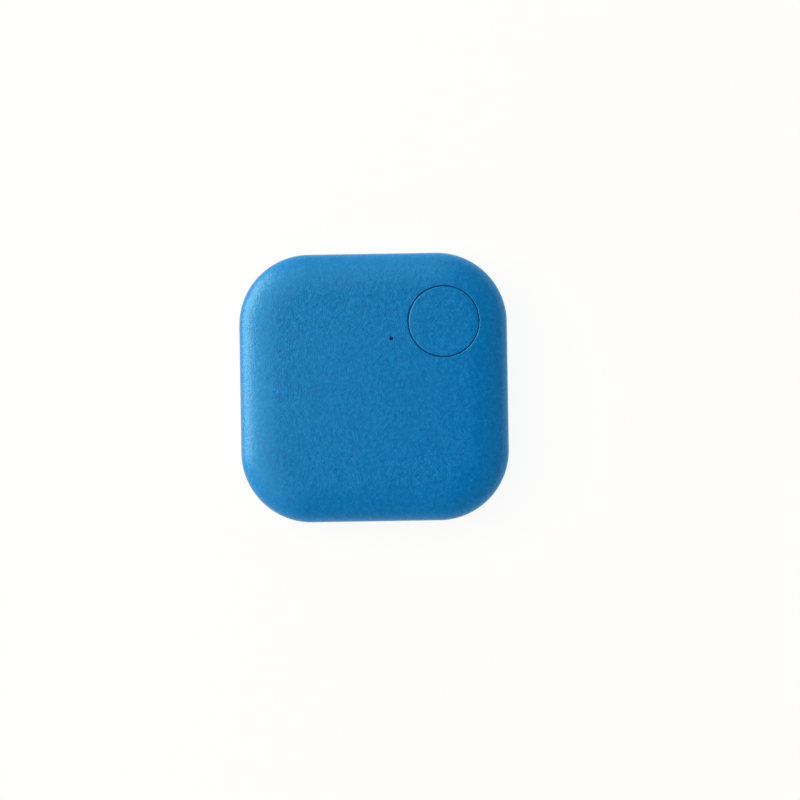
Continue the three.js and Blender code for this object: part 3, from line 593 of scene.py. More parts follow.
def boss(place):
    """A screw boss with a flare at its root."""
    return turned("boss", [
        [0, BOARD_FRONT], [BOSS_RADIUS, BOARD_FRONT], [BOSS_RADIUS, CEILING - BOSS_FLARE],
        [BOSS_RADIUS + BOSS_FLARE, CEILING + 0.02], [BOSS_RADIUS, CEILING + SINK], [0, CEILING + SINK],
    ], [0, 0.06, 0.12, 0.02, 0.02, 0], place, 48)


def pilot(place):
    """The blind hole that the screw bites into, with a lead-in at its mouth."""
    return turned("pilot", [
        [0, BOARD_FRONT - OVERRUN], [PILOT_RADIUS + 0.1, BOARD_FRONT - OVERRUN],
        [PILOT_RADIUS + 0.1, BOARD_FRONT], [PILOT_RADIUS, BOARD_FRONT + 0.12],
        [PILOT_RADIUS, CEILING - PILOT_ROOM], [0, CEILING - PILOT_ROOM],
    ], 0, place, 40)


def outlet():
    """The pinhole of the sounder: the pin that moulds it is tapered, so it narrows from the face inwards."""
    reach = OUTLET_REACH * np.array([math.cos(OUTLET_HEADING), math.sin(OUTLET_HEADING)])
    place = SOUNDER_PLACE + reach
    top = float(face_height(place))
    return turned("outlet", [
        [0, CEILING - OVERRUN], [OUTLET_NECK, CEILING - OVERRUN], [OUTLET_NECK, CEILING],
        [OUTLET_RADIUS, top - OUTLET_CHAMFER], [OUTLET_RADIUS + OUTLET_CHAMFER, top],
        [OUTLET_RADIUS + OUTLET_CHAMFER, top + OVERRUN], [0, top + OVERRUN],
    ], 0, place, 40)


def side_bars(name, inner, outer, half_length, bottom, top, edge):
    """The same bar on the middle of each of the four sides."""
    return [
        bar(name, (inner, -half_length, bottom), (outer, half_length, top), edge, heading=heading)
        for heading in SIDE_HEADINGS
    ]


rim = washer("rim", [
    [CHAMBER_RADIUS, RIM_BOTTOM], [SOUNDER_RADIUS, RIM_BOTTOM],
    [SOUNDER_RADIUS, CEILING + SINK], [CHAMBER_RADIUS, CEILING + SINK],
], 0.05, SOUNDER_PLACE)
keys = [
    bar("key", (KEY_INNER, -KEY_HALF, KEY_BOTTOM), (KEY_OUTER, KEY_HALF, CEILING + SINK), 0.06,
        BUTTON_PLACE, heading)
    for heading in KEY_HEADINGS
]
groove_face = HALF - REBATE_INSET
carve(front_shell, "UNION", [boss(place) for place in SCREW_PLACES] + [rim] + keys)
carve(front_shell, "DIFFERENCE", [pilot(place) for place in SCREW_PLACES] + [outlet()] + side_bars(
    "groove", groove_face - SINK, groove_face + 0.1, BEAD_HALF + GROOVE_ROOM,
    BEAD_BOTTOM - GROOVE_ROOM, BEAD_TOP + GROOVE_ROOM, 0.03))
print("front shell faces with its details:", len(front_shell.data.polygons))

# %% [markdown]
# ## Details of the rear cover
# A round rib keeps the cell in its place, and a snap bead stands on each side of the tongue. At one corner a
# slot runs up into the back and out through the side: a thin cord can be looped round the bar that is left.
# A shallow notch under the parting line takes a coin or a fingernail to pry the case open. Four faint discs on
# the floor are the marks of the pins that push a moulding out of its tool.

# %% Rear cover, details
CELL_PLACE = middle_of("cell_can")
CELL_RADIUS = corners("cell_can")[1][0] - CELL_PLACE[0]
RIB_INNER = CELL_RADIUS + 0.3
RIB_OUTER = RIB_INNER + 0.6
RIB_TOP = FLOOR + 0.9
CORNER_REACH = (HALF - CORNER_RADIUS) * math.sqrt(2) + CORNER_RADIUS
SLOT_HEADING = math.radians(135)
SLOT_OUTER = CORNER_REACH - 1.95
SLOT_INNER = SLOT_OUTER - 1.4
SLOT_HALF = 1.6
SLOT_BOTTOM = 1.2
SLOT_TOP = 2.3
SLOT_WALL = 0.8
SLOT_FLARE = 0.22
PRY_HALF = 3.0
PRY_DEPTH = 0.5
PRY_HEIGHT = 0.8
PIN_MARK_RADIUS = 1.1
PIN_MARK_DEPTH = 0.04
PIN_MARK_PLACES = [(-14.2, 8.0), (10.5, 12.5), (12.5, -12.5), (7.5, 2.0)]


def flared_slab(name, length, width, radius, depth, flare):
    """A cutter with round corners that widens at its mouth: inset = -flare (1 - sin t),
    depth = flare (1 - cos t). It runs from height 0 at the mouth to the depth."""
    t = np.linspace(0, QUARTER, 6)
    mouth = np.stack([-flare * (1 - np.sin(t)), flare * (1 - np.cos(t))], axis=1)
    line = np.concatenate([[[-flare, -OVERRUN]], mouth, [[0, depth]], [[radius * 0.9, depth]]])
    return plan_rings(rectangle_plan(length, width, radius, steps=8), line)


def rear_slot():
    """The part of the cord's passage that opens in the back."""
    sheet = flared_slab("rear_slot", SLOT_OUTER - SLOT_INNER, 2 * SLOT_HALF, 0.45, SLOT_TOP, SLOT_FLARE)
    reach = (SLOT_OUTER + SLOT_INNER) / 2
    place = (reach * math.cos(SLOT_HEADING), reach * math.sin(SLOT_HEADING), 0)
    return skin("rear_slot", placed(sheet, place, SLOT_HEADING))


def side_slot():
    """The part that opens in the side: the same cutter laid on its side, its mouth at the corner's skin."""
    depth = CORNER_REACH - (SLOT_OUTER + SLOT_INNER) / 2
    sheet = flared_slab("side_slot", SLOT_TOP - SLOT_BOTTOM, 2 * SLOT_HALF, 0.4, depth, SLOT_FLARE)
    upright, across, inwards = sheet[..., 0], sheet[..., 1], sheet[..., 2]
    laid = np.stack([CORNER_REACH - inwards, across, upright + (SLOT_TOP + SLOT_BOTTOM) / 2], axis=2)
    return skin("side_slot", placed(laid, (0, 0, 0), SLOT_HEADING))


rib = washer("rib", [
    [RIB_INNER, FLOOR - SINK], [RIB_OUTER, FLOOR - SINK], [RIB_OUTER, RIB_TOP], [RIB_INNER, RIB_TOP],
], 0.08, CELL_PLACE)
block_start = SLOT_INNER - SLOT_WALL
block_end = CORNER_REACH - TONGUE_INNER + 0.25
cord_block = bar(
    "cord_block", (block_start, -SLOT_HALF - SLOT_WALL, FLOOR - SINK),
    (block_end, SLOT_HALF + SLOT_WALL, PARTING), 0.1, heading=SLOT_HEADING)
bead_face = HALF - TONGUE_INSET
snap_beads = side_bars(
    "bead", bead_face - SINK, bead_face + BEAD_PROUD, BEAD_HALF, BEAD_BOTTOM, BEAD_TOP, 0.05)
pry_notch = bar(
    "pry_notch", (-PRY_HALF, -HALF - OVERRUN, PARTING - PRY_HEIGHT),
    (PRY_HALF, -HALF + PRY_DEPTH, PARTING + OVERRUN), 0.14)
pin_marks = [
    turned("pin_mark", [
        [0, FLOOR - PIN_MARK_DEPTH], [PIN_MARK_RADIUS, FLOOR - PIN_MARK_DEPTH],
        [PIN_MARK_RADIUS, FLOOR + OVERRUN], [0, FLOOR + OVERRUN],
    ], 0, place, 40)
    for place in PIN_MARK_PLACES
]
carve(rear_cover, "UNION", [rib, cord_block] + snap_beads)
carve(rear_cover, "DIFFERENCE", [rear_slot(), side_slot(), pry_notch] + pin_marks)
print("rear cover faces with its details:", len(rear_cover.data.polygons))

# %% Button cap, details
KEYWAY_ROOM = 0.2
KEYWAY_INNER = 5.25
carve(button_cap, "DIFFERENCE", [
    bar("keyway", (KEYWAY_INNER, -KEY_HALF - KEYWAY_ROOM, FLANGE_BOTTOM - OVERRUN),
        (FLANGE_RADIUS + OVERRUN, KEY_HALF + KEYWAY_ROOM, FLANGE_TOP + 0.03), 0.05, BUTTON_PLACE, heading)
    for heading in KEY_HEADINGS
])

# %% [markdown]
# ## Cell and pad
# The coin cell is two pressed cups with a plastic seal between them: the can, which is the plus side and
# faces the back, and the smaller cap. Every bend of the sheet has a radius. A plus sign is pressed into the
# can. A foam pad under the cell takes up the play, and its cut edge bulges a little under the load.

# %% Coin cell
can_low, can_high = corners("cell_can")
cap_metal_low, cap_metal_high = corners("cell_cap")
SHEET = 0.25
CELL_FIT = 0.02
CAP_METAL_RADIUS = cap_metal_high[0] - CELL_PLACE[0]
LIP_RADIUS = CELL_RADIUS - 0.75
PLUS_REACH = 8.3
PLUS_HEADING = math.radians(-45)
PLUS_ARM = 0.75
PLUS_WIDTH = 0.14
PLUS_DEPTH = 0.04

cell_can = turned("cell_can_pressing", [
    [0, can_low[2]], [CELL_RADIUS, can_low[2]], [CELL_RADIUS, can_high[2]], [LIP_RADIUS, can_high[2]],
    [LIP_RADIUS, can_high[2] - SHEET], [CELL_RADIUS - SHEET, can_high[2] - SHEET],
    [CELL_RADIUS - SHEET, can_low[2] + SHEET], [0, can_low[2] + SHEET],
], [0, 0.4, 0.22, 0.06, 0.06, 0.05, 0.15, 0], CELL_PLACE, 160)
plus_place = CELL_PLACE + PLUS_REACH * np.array([math.cos(PLUS_HEADING), math.sin(PLUS_HEADING)])
carve(cell_can, "DIFFERENCE", [
    bar("plus", (-PLUS_ARM, -PLUS_WIDTH, can_low[2] - OVERRUN), (PLUS_ARM, PLUS_WIDTH, can_low[2] + PLUS_DEPTH),
        0.03, plus_place, PLUS_HEADING + turn)
    for turn in (0, QUARTER)
])
cell_cap = turned("cell_cap_pressing", [
    [0, cap_metal_high[2] - SHEET], [CAP_METAL_RADIUS - SHEET, cap_metal_high[2] - SHEET],
    [CAP_METAL_RADIUS - SHEET, cap_metal_low[2]], [CAP_METAL_RADIUS, cap_metal_low[2]],
    [CAP_METAL_RADIUS, cap_metal_high[2]], [0, cap_metal_high[2]],
], [0, 0.12, 0.05, 0.05, 0.3, 0], CELL_PLACE, 160)

seal_low, seal_high = corners("cell_gasket")
seal_inner = CAP_METAL_RADIUS + CELL_FIT
seal_outer = CELL_RADIUS - SHEET - CELL_FIT
seal_neck = LIP_RADIUS - CELL_FIT
seal_foot = cap_metal_low[2] - CELL_FIT
cell_gasket = washer("cell_seal", [
    [seal_inner - 0.3, seal_low[2]], [seal_outer, seal_low[2]], [seal_outer, can_high[2] - SHEET - CELL_FIT],
    [seal_neck, can_high[2] - SHEET - CELL_FIT], [seal_neck, seal_high[2]], [seal_inner, seal_high[2]],
    [seal_inner, seal_foot], [seal_inner - 0.3, seal_foot],
], [0.04, 0.12, 0.05, 0.04, 0.06, 0.06, 0.03, 0.04], CELL_PLACE, 160)


def electrode(name, node):
    """A pressed pellet with a small round at both edges."""
    low, high = corners(node)
    radius = high[0] - CELL_PLACE[0]
    return turned(name, [[0, low[2]], [radius, low[2]], [radius, high[2]], [0, high[2]]],
                  [0, 0.08, 0.08, 0], CELL_PLACE, 96)


cell_cathode = electrode("cathode_pellet", "cell_cathode")
cell_anode = electrode("anode_foil", "cell_anode")

# %% Foam pad
pad_low, pad_high = corners("battery_pad")
PAD_RADIUS = (pad_high[0] - pad_low[0]) / 2
PAD_BULGE = 0.08
battery_pad = turned("foam_pad", [
    [0, pad_low[2]], [PAD_RADIUS - PAD_BULGE, pad_low[2]], [PAD_RADIUS, (pad_low[2] + pad_high[2]) / 2],
    [PAD_RADIUS - PAD_BULGE, pad_high[2]], [0, pad_high[2]],
], [0, 0.04, 0.06, 0.04, 0], middle_of("battery_pad"), 160)

# %% [markdown]
# ## Tray and contacts
# A thin plastic ring stops the cell from moving in the front case. Three lugs carry it, each riveted
# through the board with a peg whose end is melted to a dome. Two springy strips of gilt sheet reach the cell:
# one leans on the can's wall, the other lies over the cap. A strip is a flat section carried along its bends.

# %% Battery tray
tray_low, tray_high = corners("battery_tray")
TRAY_INNER = CELL_RADIUS + 0.15
TRAY_OUTER = TRAY_INNER + 0.85
LUG_HEADINGS = np.radians([128, 12, -55])
LUG_HALF = 1.2
LUG_TOP = BOARD_FRONT + 0.6
PEG_REACH = TRAY_OUTER + 1.2
PEG_RADIUS = 0.5
PEG_HEAD_RADIUS = 0.8
PEG_HEAD_HEIGHT = BOARD_REAR - 0.25
POSITIVE_HEADING = math.radians(45)
NEGATIVE_HEADING = math.radians(-15)


def around_cell(reach, heading):
    """A place at a distance and a heading from the middle of the cell."""
    return CELL_PLACE + reach * np.array([math.cos(heading), math.sin(heading)])


def rivet(heading):
    """A peg with a domed head behind the board."""
    return turned("rivet", [
        [0, PEG_HEAD_HEIGHT], [PEG_HEAD_RADIUS, PEG_HEAD_HEIGHT], [PEG_HEAD_RADIUS, BOARD_REAR],
        [PEG_RADIUS, BOARD_REAR], [PEG_RADIUS, BOARD_FRONT + SINK], [0, BOARD_FRONT + SINK],
    ], [0, 0.2, 0.03, 0.02, 0.02, 0], around_cell(PEG_REACH, heading), 32)


battery_tray = washer("cell_tray", [
    [TRAY_INNER, tray_low[2]], [TRAY_OUTER, tray_low[2]], [TRAY_OUTER, tray_high[2]], [TRAY_INNER, tray_high[2]],
], [0.18, 0.08, 0.08, 0.1], CELL_PLACE, 160)
lugs = [
    bar("lug", (TRAY_OUTER - SINK, -LUG_HALF, BOARD_FRONT), (PEG_REACH + PEG_HEAD_RADIUS, LUG_HALF, LUG_TOP),
        0.1, CELL_PLACE, heading)
    for heading in LUG_HEADINGS
]
carve(battery_tray, "UNION", lugs + [rivet(heading) for heading in LUG_HEADINGS])
carve(battery_tray, "DIFFERENCE", [
    bar("notch", (TRAY_INNER - OVERRUN, -1.8, tray_low[2] - OVERRUN), (TRAY_OUTER + OVERRUN, 1.8, BOARD_FRONT + 0.45),
        0.1, CELL_PLACE, POSITIVE_HEADING),
    bar("notch", (TRAY_INNER - OVERRUN, -1.6, tray_high[2] - 0.45), (TRAY_OUTER + OVERRUN, 1.6, tray_high[2] + OVERRUN),
        0.1, CELL_PLACE, NEGATIVE_HEADING),
])


# %% Contacts
CONTACT_SHEET = 0.15
BEND = 0.22


def sheet_section(thickness):
    """The section of a sheet strip of width 1, with its edges broken."""
    return plan_rings(rectangle_plan(1, thickness, thickness * 0.3, steps=4), [[0, 0]])[0][:, :2]


def swept(name, line, bends, section, widths, centre, heading):
    """A section carried along a bent line of (reach, height). The section is a loop of (across, thick): the
    width at each reach scales its first number, and its second stands square to the line."""
    path = rounded(line, bends, steps=7)
    path = path[np.append(True, np.linalg.norm(np.diff(path, axis=0), axis=1) > 1e-6)]
    along = np.gradient(path, axis=0)
    along /= np.linalg.norm(along, axis=1)[:, None]
    width = np.interp(path[:, 0], *np.array(widths, float).T)
    across, thick = np.asarray(section, float).T
    reach = path[:, :1] - along[:, 1:] * thick
    height = path[:, 1:] + along[:, :1] * thick
    sheet = np.stack([reach, width[:, None] * across, height], axis=2)
    return skin(name, placed(sheet, (*centre, 0), heading))


half_sheet = CONTACT_SHEET / 2
lean = CELL_RADIUS + 0.1 + half_sheet
foot_level = BOARD_FRONT + half_sheet
positive_contact = swept("can_contact", [
    [lean + 0.06, BOARD_FRONT - 1.5], [lean - 0.05, BOARD_FRONT - 0.8], [lean, foot_level], [TRAY_OUTER + 2.3, foot_level],
], [0, 0.3, BEND, 0], sheet_section(CONTACT_SHEET), [[lean - 0.1, 2.8], [TRAY_OUTER, 3.0]],
    CELL_PLACE, POSITIVE_HEADING)
finger_level = corners("negative_contact")[1][2] - half_sheet
riser = TRAY_OUTER + 0.3 + half_sheet
negative_contact = swept("cap_contact", [
    [3.0, finger_level + 0.01], [4.0, finger_level], [riser, finger_level], [riser, foot_level],
    [riser + 2.1, foot_level],
], [0, 0.3, BEND, BEND, 0], sheet_section(CONTACT_SHEET), [[3.0, 2.0], [4.2, 2.3], [8.0, 2.6]],
    CELL_PLACE, NEGATIVE_HEADING)

# %% [markdown]
# ## Circuit board
# The board follows the case, with a bay for the cell, one corner left open and a notch for the cord's block.
# Under its green mask run copper tracks, which stand up as faint ridges, and every soldered end sits on a
# tinned pad. The tracks, pads and solder are pieces of their own, because each has its own finish.

# %% Board
BOARD_HALF = corners("circuit_board")[1][0]
BOARD_ROUND = 0.05
BOARD_OPEN = CELL_PLACE[0] + 4
SCREW_HOLE = 0.7
PEG_HOLE = 0.6
CUT_START = SLOT_INNER - SLOT_WALL - 0.5

board_plan = rectangle_plan(2 * BOARD_HALF, 2 * BOARD_HALF, CORNER_RADIUS - (HALF - BOARD_HALF), steps=40)
circuit_board = skin("board_laminate", slab_sheet(board_plan, BOARD_REAR, BOARD_FRONT, BOARD_ROUND, BOARD_ROUND))


def shaft(name, place, radius, low, high, steps=48):
    """A plain round cutter between two heights."""
    return turned(name, [[0, low], [radius, low], [radius, high], [0, high]], 0, place, steps)


below_board = BOARD_REAR - OVERRUN
above_board = BOARD_FRONT + OVERRUN
board_cuts = [
    shaft("bay", CELL_PLACE, TRAY_OUTER + 0.15, below_board, above_board, 200),
    bar("open_corner", (-HALF, -HALF, below_board), (BOARD_OPEN, BOARD_OPEN, above_board), 0.3),
    bar("cord_notch", (CUT_START, -4, below_board), (CORNER_REACH, 4, above_board), 0.3, heading=SLOT_HEADING),
]
board_cuts += [shaft("screw_hole", place, SCREW_HOLE, below_board, above_board) for place in SCREW_PLACES]
board_cuts += [
    shaft("peg_hole", around_cell(PEG_REACH, heading), PEG_HOLE, below_board, above_board)
    for heading in LUG_HEADINGS
]
carve(circuit_board, "DIFFERENCE", board_cuts)
print("board faces:", len(circuit_board.data.polygons))


# %% [markdown]
# ## Parts on the board
# Most parts are small blocks: a ceramic body between two tinned ends. A block's edges are rounded, its ends
# stand a hair proud, and solder runs up each end from its pad in a hollow curve. The chips are moulded with
# sloping sides, so that they leave their tool.

# %% Blocks, ends and solder
PAD_THICKNESS = 0.03
PAD_REACH = 0.28
FILLET_SHARE = 0.6
END_SHARE = 0.22
END_PROUD = 0.02


def gathered(name, pieces):
    """One piece made of several."""
    mesh = bmesh.new()
    for piece in pieces:
        mesh.from_mesh(piece.data)
        bpy.data.objects.remove(piece)
    data = bpy.data.meshes.new(name)
    mesh.to_mesh(data)
    mesh.free()
    whole = bpy.data.objects.new(name, data)
    bpy.context.scene.collection.objects.link(whole)
    settle(whole, merge=False)
    return whole


def block_frame(node):
    """Middle, lengths, heading and heights of a block that lies along X or Y."""
    low, high = corners(node)
    size = high - low
    turned_round = size[1] > size[0]
    length, width = (size[1], size[0]) if turned_round else (size[0], size[1])
    return (low[:2] + high[:2]) / 2, length, width, QUARTER if turned_round else 0.0, low[2], high[2]


def fillet(length, width, height):
    """Solder against an end: a wedge whose slope is (1-t)^2 foot + 2t(1-t) elbow + t^2 top, with the elbow
    drawn into the corner, pushed across the width."""
    t = np.linspace(0, 1, 6)[:, None]
    foot, elbow, top = np.array([length, 0]), np.array([0.3 * length, 0.3 * height]), np.array([0, height])
    slope = (1 - t) ** 2 * foot + 2 * t * (1 - t) * elbow + t**2 * top
    loop = np.concatenate([[[0, 0]], slope])
    across = np.array([-0.5, -0.44, 0.44, 0.5])[:, None] * width
    swell = np.array([0.72, 1, 1, 0.72])[:, None]
    sheet = np.stack([loop[:, 0] * swell, np.broadcast_to(across, (4, len(loop))), -loop[:, 1] * swell], axis=2)
    return sheet


def block_body(node, edge):
    """The body of a block, a hair smaller than its ends all round."""
    middle, length, width, heading, low, high = block_frame(node)
    reach, half_width = length / 2 - END_PROUD, width / 2 - END_PROUD
    return bar(node + "_body", (-reach, -half_width, low + END_PROUD), (reach, half_width, high - END_PROUD),
               edge, middle, heading)


def block_ends(node, edge):
    """The two tinned ends of a block."""
    middle, length, width, heading, low, high = block_frame(node)
    inner = length / 2 * (1 - 2 * END_SHARE)
    return [
        bar("end", (inner, -width / 2, low), (length / 2, width / 2, high), edge, middle, heading + turn)
        for turn in (0, math.pi)
    ]


def block_solder(node):
    """Pads and solder of a block."""
    middle, length, width, heading, low, high = block_frame(node)
    inner = length / 2 * (1 - 2 * END_SHARE)
    made = []
    for turn in (heading, heading + math.pi):
        made.append(bar(
            "pad", (inner, -width / 2 - 0.08, BOARD_REAR - PAD_THICKNESS),
            (length / 2 + PAD_REACH, width / 2 + 0.08, BOARD_REAR), 0.01, middle, turn))
        wedge = fillet(PAD_REACH, width * 0.9, (high - low) * FILLET_SHARE)
        wedge = wedge + np.array([length / 2 - 0.01, 0, BOARD_REAR - PAD_THICKNESS + 0.005])
        made.append(skin("solder", placed(wedge, (*middle, 0), turn)))
    return made


def moulded(name, node, draft, edge, corner, middle_share=0.5):
    """A moulded body: its sides lean in by the draft, down and up from the line where the tool parted."""
    low, high = corners(node)
    size = high - low
    split = low[2] + middle_share * size[2]
    plan = rectangle_plan(size[0], size[1], corner, steps=6)
    line = rounded([
        [draft + 3 * edge, low[2]], [draft, low[2]], [0, split], [draft * (1 - middle_share), high[2]],
        [draft + 3 * edge, high[2]],
    ], [0, edge, 0, edge / 2, 0], steps=4)
    sheet = plan_rings(plan, line) + np.array([*middle_of(node), 0])
    return skin(name, sheet)


# %% Capacitors, resistors and coils
CAPACITORS = [f"capacitor_{number}" for number in range(1, 9)]
RESISTORS = [f"resistor_{number}" for number in range(1, 7)]
MATCHING_COILS = ["matching_coil_1", "matching_coil_2"]
BLOCKS = CAPACITORS + RESISTORS + MATCHING_COILS + ["reservoir_capacitor", "diode"]
BLOCK_EDGES = {node: 0.03 for node in RESISTORS + MATCHING_COILS} | {"diode": 0.07, "reservoir_capacitor": 0.12}

block_bodies = {node: block_body(node, BLOCK_EDGES.get(node, 0.06)) for node in BLOCKS}
end_pieces = []
solder_pieces = []
for node in BLOCKS:
    end_pieces += block_ends(node, BLOCK_EDGES.get(node, 0.06))
    solder_pieces += block_solder(node)
print("blocks on the board:", len(BLOCKS))

# %% Radio chip, crystals, boost coil and transistor
CHIP_PADS = 10
CHIP_PITCH = 0.5
PIN_MARK = 0.35

radio_chip = moulded("radio_chip_body", "radio_chip", 0.02, 0.06, 0.12)
chip_low, chip_high = corners("radio_chip")
carve(radio_chip, "DIFFERENCE", [turned("first_pin_mark", [
    [0, chip_low[2] - OVERRUN], [PIN_MARK, chip_low[2] - OVERRUN], [PIN_MARK - 0.02, chip_low[2] + 0.04],
    [0, chip_low[2] + 0.04],
], [0, 0, 0.02, 0], chip_low[:2] + 0.85, 40)])
chip_half = (chip_high[0] - chip_low[0]) / 2
for heading in SIDE_HEADINGS:
    for number in range(CHIP_PADS):
        offset = (number - (CHIP_PADS - 1) / 2) * CHIP_PITCH
        end_pieces.append(bar(
            "chip_end", (chip_half - 0.3, offset - 0.12, chip_high[2] - 0.2),
            (chip_half + 0.01, offset + 0.12, chip_high[2] + 0.005), 0.01, middle_of("radio_chip"), heading))
        solder_pieces.append(bar(
            "chip_pad", (chip_half - 0.3, offset - 0.14, BOARD_REAR - PAD_THICKNESS),
            (chip_half + 0.25, offset + 0.14, BOARD_REAR), 0.01, middle_of("radio_chip"), heading))


def crystal(node):
    """A metal lid with round corners and a rim, on a ceramic base."""
    low, high = corners(node)
    size = high - low
    base_low = low[2] + 0.45 * size[2]
    half_size = size / 2
    middle = middle_of(node)
    base = bar(node + "_base", (-half_size[0], -half_size[1], base_low), (half_size[0], half_size[1], high[2]),
               0.04, middle)
    plan = rectangle_plan(size[0] - 0.1, size[1] - 0.1, 0.25, steps=8)
    lid = plan_rings(plan, rounded([
        [0.5, low[2]], [0.12, low[2]], [0.12, base_low - 0.06], [0, base_low - 0.06], [0, base_low + 0.05],
        [0.5, base_low + 0.05],
    ], [0, 0.1, 0.03, 0.01, 0, 0], steps=5))
    lid = skin(node + "_lid", lid + np.array([*middle, 0]))
    for side_x in (-1, 1):
        for side_y in (-1, 1):
            x, y = side_x * (half_size[0] - 0.35), side_y * (half_size[1] - 0.3)
            solder_pieces.append(bar(
                "crystal_pad", (x - 0.4, y - 0.35, BOARD_REAR - PAD_THICKNESS), (x + 0.4, y + 0.35, BOARD_REAR),
                0.01, middle))
    return base, lid


radio_crystal_base, radio_crystal_lid = crystal("radio_crystal")
watch_crystal_base, watch_crystal_lid = crystal("watch_crystal")

coil_low, coil_high = corners("boost_coil")
coil_size = coil_high - coil_low
coil_plan = rectangle_plan(coil_size[0], coil_size[1], 0.7, steps=10)
boost_coil = skin("boost_coil_body", placed(
    slab_sheet(coil_plan, coil_low[2], coil_high[2], 0.12, 0.06), (*middle_of("boost_coil"), 0)))
DISH_RADIUS = 0.9
DISH_DEPTH = 0.2
carve(boost_coil, "DIFFERENCE", [turned("dish", [
    [0, coil_low[2] - OVERRUN], [DISH_RADIUS + 0.06, coil_low[2] - OVERRUN], [DISH_RADIUS + 0.06, coil_low[2]],
    [DISH_RADIUS - 0.05, coil_low[2] + DISH_DEPTH], [0, coil_low[2] + DISH_DEPTH],
], [0, 0, 0.03, 0.1, 0], middle_of("boost_coil"), 64)])
for turn in (0, math.pi):
    solder_pieces.append(bar(
        "coil_pad", (0.7, -1.3, BOARD_REAR - PAD_THICKNESS), (1.65, 1.3, BOARD_REAR), 0.01,
        middle_of("boost_coil"), turn))
    wedge = fillet(0.2, 2.0, 0.5) + np.array([coil_size[0] / 2 - 0.01, 0, BOARD_REAR - PAD_THICKNESS + 0.005])
    solder_pieces.append(skin("solder", placed(wedge, (*middle_of("boost_coil"), 0), turn)))

# %% Transistor with its bent legs
LEG_SHEET = 0.12
LEG_WIDTH = 0.4
LEG_PITCH = 0.95
BODY_WIDTH = 1.3
driver_low, driver_high = corners("driver_transistor")
driver_middle = middle_of("driver_transistor")
driver_plan = rectangle_plan(driver_high[0] - driver_low[0], BODY_WIDTH, 0.08, steps=4)
driver_line = rounded([
    [0.4, driver_low[2]], [0.08, driver_low[2]], [0, driver_low[2] + 0.42], [0.06, driver_high[2] - 0.15],
    [0.4, driver_high[2] - 0.15],
], [0, 0.05, 0.01, 0.04, 0], steps=4)
driver_body = skin("transistor_body", plan_rings(driver_plan, driver_line) + np.array([*driver_middle, 0]))


leg_top = driver_low[2] + 0.42
leg_foot = BOARD_REAR - PAD_THICKNESS - LEG_SHEET / 2
leg_reach = BODY_WIDTH / 2 + 0.5
driver_legs = []
for across, way in [(-LEG_PITCH, 1), (LEG_PITCH, 1), (0, -1)]:
    leg_place = driver_middle + np.array([across, 0])
    driver_legs.append(swept(
        "leg", [[BODY_WIDTH / 2 - 0.15, leg_top], [BODY_WIDTH / 2 + 0.12, leg_top],
                [BODY_WIDTH / 2 + 0.2, leg_foot], [leg_reach, leg_foot]],
        [0, 0.07, 0.07, 0], sheet_section(LEG_SHEET), [[0, LEG_WIDTH], [3, LEG_WIDTH]], leg_place, way * QUARTER))
    solder_pieces.append(bar(
        "leg_pad", (BODY_WIDTH / 2 + 0.1, -0.3, BOARD_REAR - PAD_THICKNESS), (leg_reach + 0.2, 0.3, BOARD_REAR),
        0.01, leg_place, way * QUARTER))
transistor_legs = gathered("transistor_legs", driver_legs)

# %% [markdown]
# ## Tracks
# The tracks leave the ends of the parts, run straight or at 45 degrees, and dive through the board in small plated
# holes. They are laid where the parts let them pass, as an engineer would route them.

# %% Tracks, vias and rings round the holes
TRACK_HEIGHT = 0.018
TRACK_WIDTH = 0.2
VIA_RADIUS = 0.22
RING_WIDTH = 0.35
ROUTES = [
    [(9.2, -1.3), (9.2, 0.3)],
    [(10.2, 0.2), (12.4, 0.2), (13.4, 1.2), (13.4, 4.3), (14.2, 5.1), (14.2, 5.8)],
    [(8.0, -4.0), (7.4, -4.0), (6.9, -3.5), (6.9, -0.4), (7.9, 0.6), (7.9, 4.0)],
    [(12.9, -1.2), (12.9, -0.6), (15.0, 1.5), (15.6, 2.1), (15.6, 8.0), (14.6, 9.0)],
    [(7.5, 1.6), (7.7, 1.6)],
    [(8.1, 1.6), (8.4, 1.6), (9.4, 2.6), (9.4, 3.9), (10.7, 3.9)],
    [(8.8, 4.6), (9.6, 5.4), (9.6, 7.0), (10.3, 7.0)],
    [(7.6, 10.5), (8.6, 10.5), (9.6, 9.5), (11.2, 9.5), (11.7, 9.0)],
    [(6.1, 9.3), (6.1, 7.5), (5.9, 7.2)],
    [(3.8, 8.2), (4.6, 8.2), (5.0, 8.6), (5.0, 9.3)],
    [(5.1, 11.8), (5.1, 12.2), (4.3, 13.0), (4.3, 13.9), (5.7, 14.6)],
    [(6.6, 13.2), (7.7, 13.2)],
    [(10.7, 13.2), (12.2, 13.2), (14.4, 11.0), (14.4, 9.2)],
    [(3.2, 11.2), (4.0, 12.0), (4.0, 13.3)],
    [(-3.3, 10.6), (-1.6, 10.6), (-1.0, 11.2), (1.8, 11.2)],
    [(-6.4, 11.9), (-5.4, 10.9), (-4.7, 10.6)],
    [(11.3, -7.6), (11.3, -8.6)],
    [(13.0, -7.6), (13.0, -8.4)],
    [(9.4, -7.6), (9.4, -8.7)],
    [(13.0, -10.2), (13.0, -11.4), (12.6, -12.0)],
    [(12.1, -12.0), (10.6, -12.0), (9.6, -13.0), (9.6, -13.3)],
    [(14.3, -2.5), (15.0, -2.2)],
    [(14.3, -5.6), (15.0, -5.6)],
    [(8.3, -9.6), (7.4, -10.5), (7.4, -11.5)],
]
